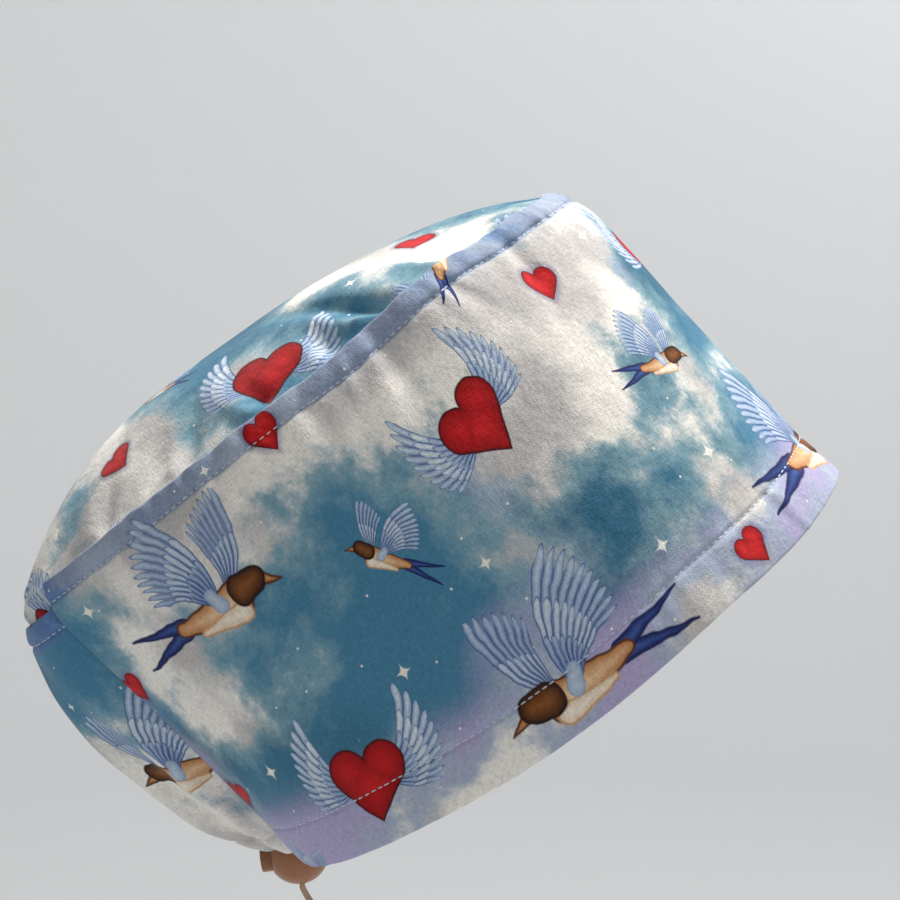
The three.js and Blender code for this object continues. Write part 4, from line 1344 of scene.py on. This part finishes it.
class StitchTree:
    """A Geometry Nodes tree that lays short stitches along a line."""

    def __init__(self) -> None:
        """Draws up the tree."""
        self.tree = bpy.data.node_groups.new("stitch run", "GeometryNodeTree")
        self.inputs: dict[str, str] = {}
        for name, kind in (
            ("Geometry", "NodeSocketGeometry"),
            ("Pitch", "NodeSocketFloat"),
            ("Length", "NodeSocketFloat"),
            ("Thickness", "NodeSocketFloat"),
            ("Seed", "NodeSocketInt"),
            ("Thread", "NodeSocketMaterial"),
        ):
            made = self.tree.interface.new_socket(name, in_out="INPUT", socket_type=kind)
            self.inputs[name] = made.identifier
        self.tree.interface.new_socket("Geometry", in_out="OUTPUT", socket_type="NodeSocketGeometry")
        start, end = self._node("NodeGroupInput"), self._node("NodeGroupOutput")
        given = start.outputs
        curve = self._node("GeometryNodeMeshToCurve", Mesh=given["Geometry"])
        evenly = self._node(
            "GeometryNodeResampleCurve", {"mode": "LENGTH"}, Curve=curve.outputs[0], Length=given["Pitch"]
        )
        bead = self._node("GeometryNodeMeshUVSphere", Segments=6, Rings=5, Radius=0.5)
        run = self._node("GeometryNodeInputTangent")
        turn = self._node("FunctionNodeAlignRotationToVector", {"axis": "X"}, Vector=run.outputs[0])
        vary = self._node("FunctionNodeRandomValue", {"data_type": "FLOAT"}, Seed=given["Seed"])
        vary.inputs[2].default_value, vary.inputs[3].default_value = 0.9, 1.08
        long = self._node("ShaderNodeMath", {"operation": "MULTIPLY"})
        self.tree.links.new(given["Length"], long.inputs[0])
        self.tree.links.new(vary.outputs[1], long.inputs[1])
        size = self._node("ShaderNodeCombineXYZ", X=long.outputs[0], Y=given["Thickness"], Z=given["Thickness"])
        spread = self._node(
            "GeometryNodeInstanceOnPoints",
            Points=evenly.outputs[0],
            Instance=bead.outputs["Mesh"],
            Rotation=turn.outputs[0],
            Scale=size.outputs[0],
        )
        real = self._node("GeometryNodeRealizeInstances", Geometry=spread.outputs[0])
        done = self._node("GeometryNodeSetMaterial", Geometry=real.outputs[0], Material=given["Thread"])
        self.tree.links.new(done.outputs[0], end.inputs[0])

    def _node(self, kind: str, settings: dict | None = None, **inputs: object) -> bpy.types.Node:
        """Adds a node, its settings before its values and links."""
        made = self.tree.nodes.new(kind)
        for key, value in (settings or {}).items():
            setattr(made, key, value)
        for key, value in inputs.items():
            if isinstance(value, bpy.types.NodeSocket):
                self.tree.links.new(value, made.inputs[key])
            else:
                made.inputs[key].default_value = value
        return made

    def run(self, name: str, line: Array, thread: bpy.types.Material, seed: int, **sizes: float) -> bpy.types.Object:
        """Lays stitches along a line.

        Args:
            name: The piece's name.
            line: Points in the object's frame, in metres.
            thread: The stitches' material.
            seed: Chooses how the stitches vary.
            sizes: Pitch, Length and Thickness, in metres.

        Returns:
            A plain mesh object of all the stitches.
        """
        mesh = bpy.data.meshes.new(f"{name} line")
        mesh.from_pydata(line.tolist(), [(k, k + 1) for k in range(len(line) - 1)], [])
        carrier = bpy.data.objects.new(f"{name} line", mesh)
        bpy.context.scene.collection.objects.link(carrier)
        modifier = carrier.modifiers.new("stitches", "NODES")
        modifier.node_group = self.tree
        for key, value in {"Seed": seed, "Thread": thread, **sizes}.items():
            modifier[self.inputs[key]] = value
        done = carrier.evaluated_get(bpy.context.evaluated_depsgraph_get())
        plain = bpy.data.meshes.new_from_object(done)
        plain.name = name
        plain.shade_smooth()
        carrier.modifiers.remove(modifier)
        bpy.data.objects.remove(carrier)
        bpy.data.meshes.remove(mesh)
        piece = bpy.data.objects.new(name, plain)
        bpy.context.scene.collection.objects.link(piece)
        LOG.info("%s: %d faces", name, len(plain.polygons))
        return piece


@dataclass(frozen=True)
class LockSizes:
    """The cord lock, in millimetres: a ball with a button on its +Y side and the cord's hole along Z."""

    centre: tuple[float, float, float] = (0.0, 88.3, 1.5)
    lean: float = 28.0
    ball: float = 9.6
    button: float = 4.4
    proud: float = 12.0
    inner: float = 3.4
    travel: float = 3.0
    clearance: float = 0.3
    chamfer: float = 0.4
    hole: float = 2.05
    strand_out: float = 0.95
    cord: float = 1.6
    knot: float = 2.6
    knot_length: float = 6.0

    def place(self, points: Array) -> Array:
        """Points of the lock's own frame in the upright frame."""
        angle = math.radians(self.lean)
        turn = np.array([[1, 0, 0], [0, math.cos(angle), -math.sin(angle)], [0, math.sin(angle), math.cos(angle)]])
        return np.asarray(points, float) @ turn.T + self.centre

    def strand(self, side: int, depth: float) -> Array:
        """A point of a strand in the hole, at a depth below the ball's middle."""
        return self.place(np.array([[-side * self.strand_out, 0.0, -depth]]))[0]


@dataclass
class CordLock:
    """The ball and its sprung button."""

    form: CapForm
    sizes: LockSizes
    ball_finish: bpy.types.Material
    button_finish: bpy.types.Material
    sides: int = 72

    def lathe(self, name: str, profile: Sequence[tuple[float, float]], finish: bpy.types.Material) -> bpy.types.Object:
        """Turns a profile of radius and +Y place round the lock's own Y axis, from pole to pole."""
        angle = np.linspace(0, 2 * np.pi, self.sides, endpoint=False)
        radius, along = np.array(profile[1:-1]).T
        x, z = np.cos(angle)[:, None] * radius, np.sin(angle)[:, None] * radius
        grid = np.stack([x, np.broadcast_to(along, x.shape), z], -1).reshape(-1, 3)
        rows, count = len(radius), self.sides * len(radius)
        poles = np.array([[0, profile[0][1], 0], [0, profile[-1][1], 0]])
        i = np.arange(self.sides)
        after = (i + 1) % self.sides
        first, last = np.full(self.sides, count), np.full(self.sides, count + 1)
        faces = np.concatenate([
            grid_faces(self.sides, rows, round_columns=True),
            np.stack([first, after * rows, i * rows, i * rows], -1),
            np.stack([last, i * rows + rows - 1, after * rows + rows - 1, after * rows + rows - 1], -1),
        ])
        points = self.sizes.place(np.concatenate([grid, poles]))
        return Shell(points, faces, np.zeros((len(points), 2))).build(name, self.form, finish)

    def ball(self) -> bpy.types.Object:
        """The ball, with the button's pocket and the cord's hole."""
        s = self.sizes
        pocket = s.button + s.clearance
        mouth = math.asin((pocket + 0.5) / s.ball)
        brim = s.ball * math.cos(mouth)
        floor = -s.inner - s.travel - s.clearance
        globe = [(s.ball * math.sin(a), s.ball * math.cos(a)) for a in np.linspace(mouth, math.pi, 40)[:-1]]
        cup = [(0.0, floor), (pocket - 0.1, floor), (pocket, floor + 0.1), (pocket, brim - 0.5),
               (pocket + 0.12, brim - 0.16)]
        piece = self.lathe("cord_lock_ball", [*cup, *globe, (0.0, -s.ball)], self.ball_finish)
        angle = np.linspace(0, 2 * np.pi, 40, endpoint=False)
        self.drill(piece, np.stack([s.hole * np.cos(angle), s.hole * np.sin(angle)], -1), 38.0)
        return piece

    def drill(self, piece: bpy.types.Object, ring: Array, sharp: float) -> None:
        """Cuts a hole right through a piece along the lock's own Z axis.

        Args:
            piece: The piece to cut.
            ring: The hole's outline as x and y, anticlockwise.
            sharp: Edges that turn by more than this many degrees are drawn sharp.
        """
        count, far = len(ring), 1.5 * self.sizes.ball
        ends = [np.column_stack([ring, np.full(count, z)]) for z in (-far, far)]
        mesh = bpy.data.meshes.new("bore")
        flanks = [(k, (k + 1) % count, count + (k + 1) % count, count + k) for k in range(count)]
        lids = [tuple(range(count - 1, -1, -1)), tuple(range(count, 2 * count))]
        points = self.form.to_row(self.sizes.place(np.concatenate(ends)))
        mesh.from_pydata(points.tolist(), [], [*flanks, *lids])
        tool = bpy.data.objects.new("bore", mesh)
        bpy.context.scene.collection.objects.link(tool)
        cut = piece.modifiers.new("bore", "BOOLEAN")
        cut.operation, cut.solver, cut.object = "DIFFERENCE", "EXACT", tool
        done = piece.evaluated_get(bpy.context.evaluated_depsgraph_get())
        plain = bpy.data.meshes.new_from_object(done)
        piece.modifiers.remove(cut)
        piece.data = plain
        bpy.data.objects.remove(tool)
        plain.shade_smooth()
        plain.set_sharp_from_angle(angle=math.radians(sharp))

    def button(self) -> bpy.types.Object:
        """The button, a little domed and round at its rim, with the slot that the cord runs through."""
        s = self.sizes
        dome = 0.25
        turn = np.linspace(math.pi / 2, 0, 6)
        rim = [(s.button - s.chamfer * (1 - math.cos(a)), s.proud - dome - s.chamfer * (1 - math.sin(a))) for a in turn]
        cap = [(r * (s.button - s.chamfer), s.proud - dome * r * r) for r in (0.3, 0.6, 0.85)]
        end = [(s.button, 0.2 - s.inner), (s.button - 0.2, -s.inner), (0.0, -s.inner)]
        piece = self.lathe("cord_lock_push", [(0.0, s.proud), *cap, *rim, *end], self.button_finish)
        low, high = -s.cord / 2 - s.clearance, s.hole + s.travel
        self.drill(piece, np.array([(-s.hole, low), (s.hole, low), (s.hole, high), (-s.hole, high)]), 50.0)
        return piece


@dataclass
class Drawcord:
    """The cord's two strands, from the band's hem through the lock to their knot."""

    form: CapForm
    sizes: LockSizes
    material: bpy.types.Material
    sides: int = 14
    feed_route: tuple[tuple[float, float, float], ...] = (
        (-35.6, 76.2, 7.2), (-31.5, 78.3, 7.6), (-27.2, 79.6, 8.2), (-22.6, 80.5, 9.2), (-18.2, 80.6, 10.8),
        (-13.8, 80.0, 13.0), (-9.6, 78.9, 15.2), (-5.8, 78.6, 17.1), (-2.7, 79.6, 17.3), (-1.15, 81.0, 16.0),
    )
    tail_route: tuple[tuple[float, float, float], ...] = (
        (-1, 93.5, -7.8), (-1, 94, -10.2), (-1, 94.2, -13), (-1.05, 94.5, -16.2), (-1.1, 95.4, -19.6),
        (-1.1, 97, -23.4), (-1.05, 99.1, -27.2), (-1, 101.5, -30.8), (-1, 103.9, -34.2), (-1, 106.3, -37.5),
    )

    def tube(self, name: str, path: Array, closed: bool = False) -> bpy.types.Object:
        """A round tube along a path of the upright frame, its ends domed.

        Args:
            name: The piece's name.
            path: The tube's middle line, in millimetres.
            closed: Whether the path runs round.

        Returns:
            The tube, its map running round it and along it.
        """
        radius = self.sizes.cord / 2
        run = np.roll(path, -1, 0) - np.roll(path, 1, 0) if closed else np.gradient(path, axis=0)
        run = run / np.linalg.norm(run, axis=1, keepdims=True)
        side = np.cross(run[0], [0.3, 0.2, 1.0])
        frames = []
        for direction in run:
            side = side - direction * side.dot(direction)
            side = side / np.linalg.norm(side)
            frames.append((side, np.cross(direction, side)))
        u, v = (np.array(part) for part in zip(*frames))
        angle = np.linspace(0, 2 * np.pi, self.sides, endpoint=False)
        ring = np.cos(angle)[None, :, None] * u[:, None] + np.sin(angle)[None, :, None] * v[:, None]
        grid = path[:, None] + radius * ring
        length = lengths(path)
        halves = np.abs(np.linspace(-1.0, 1.0, self.sides, endpoint=False))
        flat = np.stack(np.broadcast_arrays(halves[None, :], length[:, None]), -1)
        if closed:
            faces = grid_faces(len(path), self.sides, True, True)
            return Shell(grid.reshape(-1, 3), faces, flat.reshape(-1, 2)).build(name, self.form, self.material)
        dome = ((0.85, 0.5), (0.45, 0.85))
        head = [path[0] + radius * (wide * ring[0] - far * run[0]) for wide, far in dome][::-1]
        tail = [path[-1] + radius * (wide * ring[-1] + far * run[-1]) for wide, far in dome]
        grid = np.concatenate([head, grid, tail])
        flat = np.concatenate([[flat[0]] * 2, flat, [flat[-1]] * 2]).reshape(-1, 2)
        count, top = grid.shape[0] * self.sides, (grid.shape[0] - 1) * self.sides
        i = np.arange(self.sides)
        after = (i + 1) % self.sides
        low = np.stack([after, i, np.full(self.sides, count), np.full(self.sides, count)], -1)
        high = np.stack([top + i, top + after, np.full(self.sides, count + 1), np.full(self.sides, count + 1)], -1)
        faces = np.concatenate([grid_faces(grid.shape[0], self.sides, False, True), low[:, ::-1], high[:, ::-1]])
        points = np.concatenate([grid.reshape(-1, 3), [path[0] - radius * run[0], path[-1] + radius * run[-1]]])
        flat = np.concatenate([flat, [[0.0, 0.0], [0.0, length[-1]]]])
        return Shell(points, faces, flat).build(name, self.form, self.material)

    def feed(self, side: int) -> Array:
        """The path of a strand from the hem into the lock and through it."""
        s = self.sizes
        route = np.array(self.feed_route) * [side, 1, 1]
        through_lock = [s.strand(side, depth) for depth in (-s.ball, -s.ball / 2, 0.0, s.ball / 2, s.ball)]
        return through(np.concatenate([route, through_lock]), 120)

    def tail(self, side: int) -> Array:
        """The path of a strand's free end below the lock."""
        route = np.array(self.tail_route) * [side, 1, 1]
        return through(np.concatenate([[self.sizes.strand(side, self.sizes.ball + 0.3)], route]), 90)

    def knot(self) -> Array:
        """The path of the knot that ends both strands."""
        s = self.sizes
        end = np.array(self.tail_route[-2:]) * [0, 1, 1]
        run = (end[1] - end[0]) / np.linalg.norm(end[1] - end[0])
        centre = end[1] + run * (s.knot_length / 2 + 0.3)
        across = np.array([1.0, 0.0, 0.0])
        deep = np.cross(run, across)
        t = np.linspace(0, 2 * np.pi, 120, endpoint=False)
        out = (s.knot - s.cord / 2) * (0.62 + 0.38 * np.cos(3 * t))
        rise = (s.knot_length - s.cord) / 2 * np.sin(3 * t)
        return centre + np.stack([out * np.cos(2 * t), out * np.sin(2 * t), rise], -1) @ np.array([across, deep, run])


@dataclass(frozen=True)
class Lamp:
    """A square soft light: its place, target and size in metres, its watts and its colour."""

    name: str
    place: tuple[float, float, float]
    target: tuple[float, float, float]
    size: float
    power: float
    hue: str


@dataclass(frozen=True)
class Studio:
    """A plain pale sweep, soft light and the camera, in metres."""

    eye: tuple[float, float, float] = (-0.74897, -0.06631, 0.00555)
    aim: tuple[float, float, float] = (0.0, -0.066308, -0.033702)
    lens: float = 96.0
    lamps: tuple[Lamp, ...] = (
        Lamp("overhead", (0.14, -0.34, 1.05), aim, 0.32, 19.0, "#fffcf7"),
        Lamp("front fill", (-0.75, -1.15, 0.35), aim, 0.8, 2.2, "#fff8f2"),
        Lamp("wall wash", (1.30, -0.20, 1.60), (2.2, -0.2, 0.5), 1.0, 8.0, "#ffffff"),
        Lamp("corner wash", (1.35, -1.0, 0.95), (2.2, -0.62, 0.35), 0.6, 5.0, "#ffffff"),
    )
    sky_hue: str = "#eceae6"
    sky_strength: float = 0.31
    floor: float = -0.85
    back: float = 1.9
    sweep: float = 0.3
    height: float = 3.2

    def camera(self) -> None:
        """Sets the scene's camera."""
        data = bpy.data.cameras.new("camera")
        data.lens, data.sensor_width = self.lens, 36.0
        camera = bpy.data.objects.new("camera", data)
        bpy.context.scene.collection.objects.link(camera)
        self._face(camera, self.eye, self.aim)
        bpy.context.scene.camera = camera

    @staticmethod
    def _face(thing: bpy.types.Object, place: Sequence[float], target: Sequence[float]) -> None:
        """Puts a camera or lamp at a place and turns it to another."""
        thing.location = place
        thing.rotation_euler = (Vector(target) - Vector(place)).to_track_quat("-Z", "Y").to_euler()

    def backdrop(self, sides: int = 96) -> None:
        """Floor and wall in one round sweep."""
        bend = [(self.back + self.sweep * math.sin(a), self.sweep * (1 - math.cos(a)))
                for a in np.linspace(0, np.pi / 2, 24)]
        profile = [(0.001, 0.0), *bend, (self.back + self.sweep, self.height)]
        turn = np.linspace(0, 2 * np.pi, sides, endpoint=False)
        points = [(r * math.cos(a), r * math.sin(a), self.floor + z) for a in turn for r, z in profile]
        mesh = bpy.data.meshes.new("backdrop")
        mesh.from_pydata(points, [], grid_faces(sides, len(profile), round_columns=True)[:, ::-1].tolist())
        mesh.shade_smooth()
        mesh.materials.append(ShaderSheet("backdrop paper").feed(Base_Color=colour("#e6e8ea"), Roughness=0.95))
        piece = bpy.data.objects.new("backdrop", mesh)
        bpy.context.scene.collection.objects.link(piece)

    def build(self) -> None:
        """Sets the stage."""
        self.camera()
        self.backdrop()
        for lamp in self.lamps:
            data = bpy.data.lights.new(lamp.name, "AREA")
            data.size, data.energy, data.color = lamp.size, lamp.power, colour(lamp.hue)[:3]
            light = bpy.data.objects.new(lamp.name, data)
            bpy.context.scene.collection.objects.link(light)
            self._face(light, lamp.place, lamp.target)
        world = bpy.data.worlds.new("studio")
        world.use_nodes = True
        hue, strength = world.node_tree.nodes["Background"].inputs[:2]
        hue.default_value, strength.default_value = colour(self.sky_hue), self.sky_strength
        bpy.context.scene.world = world
        bpy.context.scene.view_settings.view_transform = "Standard"


@dataclass(frozen=True)
class Cut:
    """The flat sheet a piece of cloth is cut from, in metres, and how it is held."""

    width: float
    length: float
    held: str
    area: float | None = None


@dataclass
class ScrubCap:
    """The whole cap."""

    form: CapForm = field(default_factory=CapForm)
    lock: LockSizes = field(default_factory=LockSizes)
    stitch_pitch: float = 2.44
    stitch_length: float = 2.05
    stitch_thick: float = 0.5
    band_cut: Cut = Cut(0.60, 0.146, "stretched")
    panel_cut: Cut = Cut(0.135, 0.125, "gathered", 0.0135)
    crown_cut: Cut = Cut(0.155, 0.225, "draped", 0.0285)

    @staticmethod
    def mount(piece: bpy.types.Object, node: str, slot: str, body: str = "cap") -> bpy.types.Object:
        """Puts a piece on its body in place of a CAD node."""
        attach(piece, body)
        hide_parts(node)
        return piece

    def cloth(self) -> None:
        """The band, panel and crown, and the stitches on them."""
        cotton = PrintedCotton().material()
        band, panel, crown = (kind(self.form, cotton) for kind in (SideBand, BackPanel, Crown))
        tree, thread = StitchTree(), Thread().material()
        sizes = {"Pitch": self.stitch_pitch, "Length": self.stitch_length, "Thickness": self.stitch_thick}
        sizes = {key: value * MM for key, value in sizes.items()}
        runs = {
            "band_topstitch": band.line(self.form.band_height - self.form.allowance),
            "hem_stitch": band.line(self.form.hem_depth),
            "panel_topstitch": panel.line(self.form.allowance),
        }
        for seed, (name, line) in enumerate(runs.items(), 1):
            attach(tree.run(name, self.form.to_row(line), thread, seed, **sizes), "cap")
        cuts = (
            ("side_band", band, self.band_cut),
            ("back_panel", panel, self.panel_cut),
            ("crown", crown, self.crown_cut),
        )
        for node, part, cut in cuts:
            piece = self.mount(part.build(), node, "printed_cotton")

    def fastening(self) -> None:
        """The drawcord and its lock."""
        cord = Drawcord(self.form, self.lock, BraidedCord().material())
        knot = self.mount(cord.tube("cord_knot_tied", cord.knot(), closed=True), "cord_knot", "cord")
        for side, name in ((1, "right"), (-1, "left")):
            self.mount(cord.tube(f"cord_feed_{name}_braid", cord.feed(side)), f"cord_feed_{name}", "cord")
            path = cord.tail(side)
            tail = self.mount(cord.tube(f"cord_tail_{name}_braid", path), f"cord_tail_{name}", "cord")
            row = self.form.to_row(path)
        tan = MouldedPlastic("tan moulded plastic", "#a46f4d").material()
        lock = CordLock(self.form, self.lock, tan, MouldedPlastic("brown button", "#94623f").material())
        self.mount(lock.ball(), "cord_lock_body", "cord_lock")
        self.mount(lock.button(), "cord_lock_button", "cord_lock", "button")

    def build(self) -> None:
        """Makes every piece."""
        self.fastening()
        self.cloth()


def main() -> None:
    """Builds the scene on the frame."""
    logging.basicConfig(level=logging.INFO, format="%(name)s %(message)s")
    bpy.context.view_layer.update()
    Studio().build()
    ScrubCap().build()


if __name__ == "__main__":
    main()
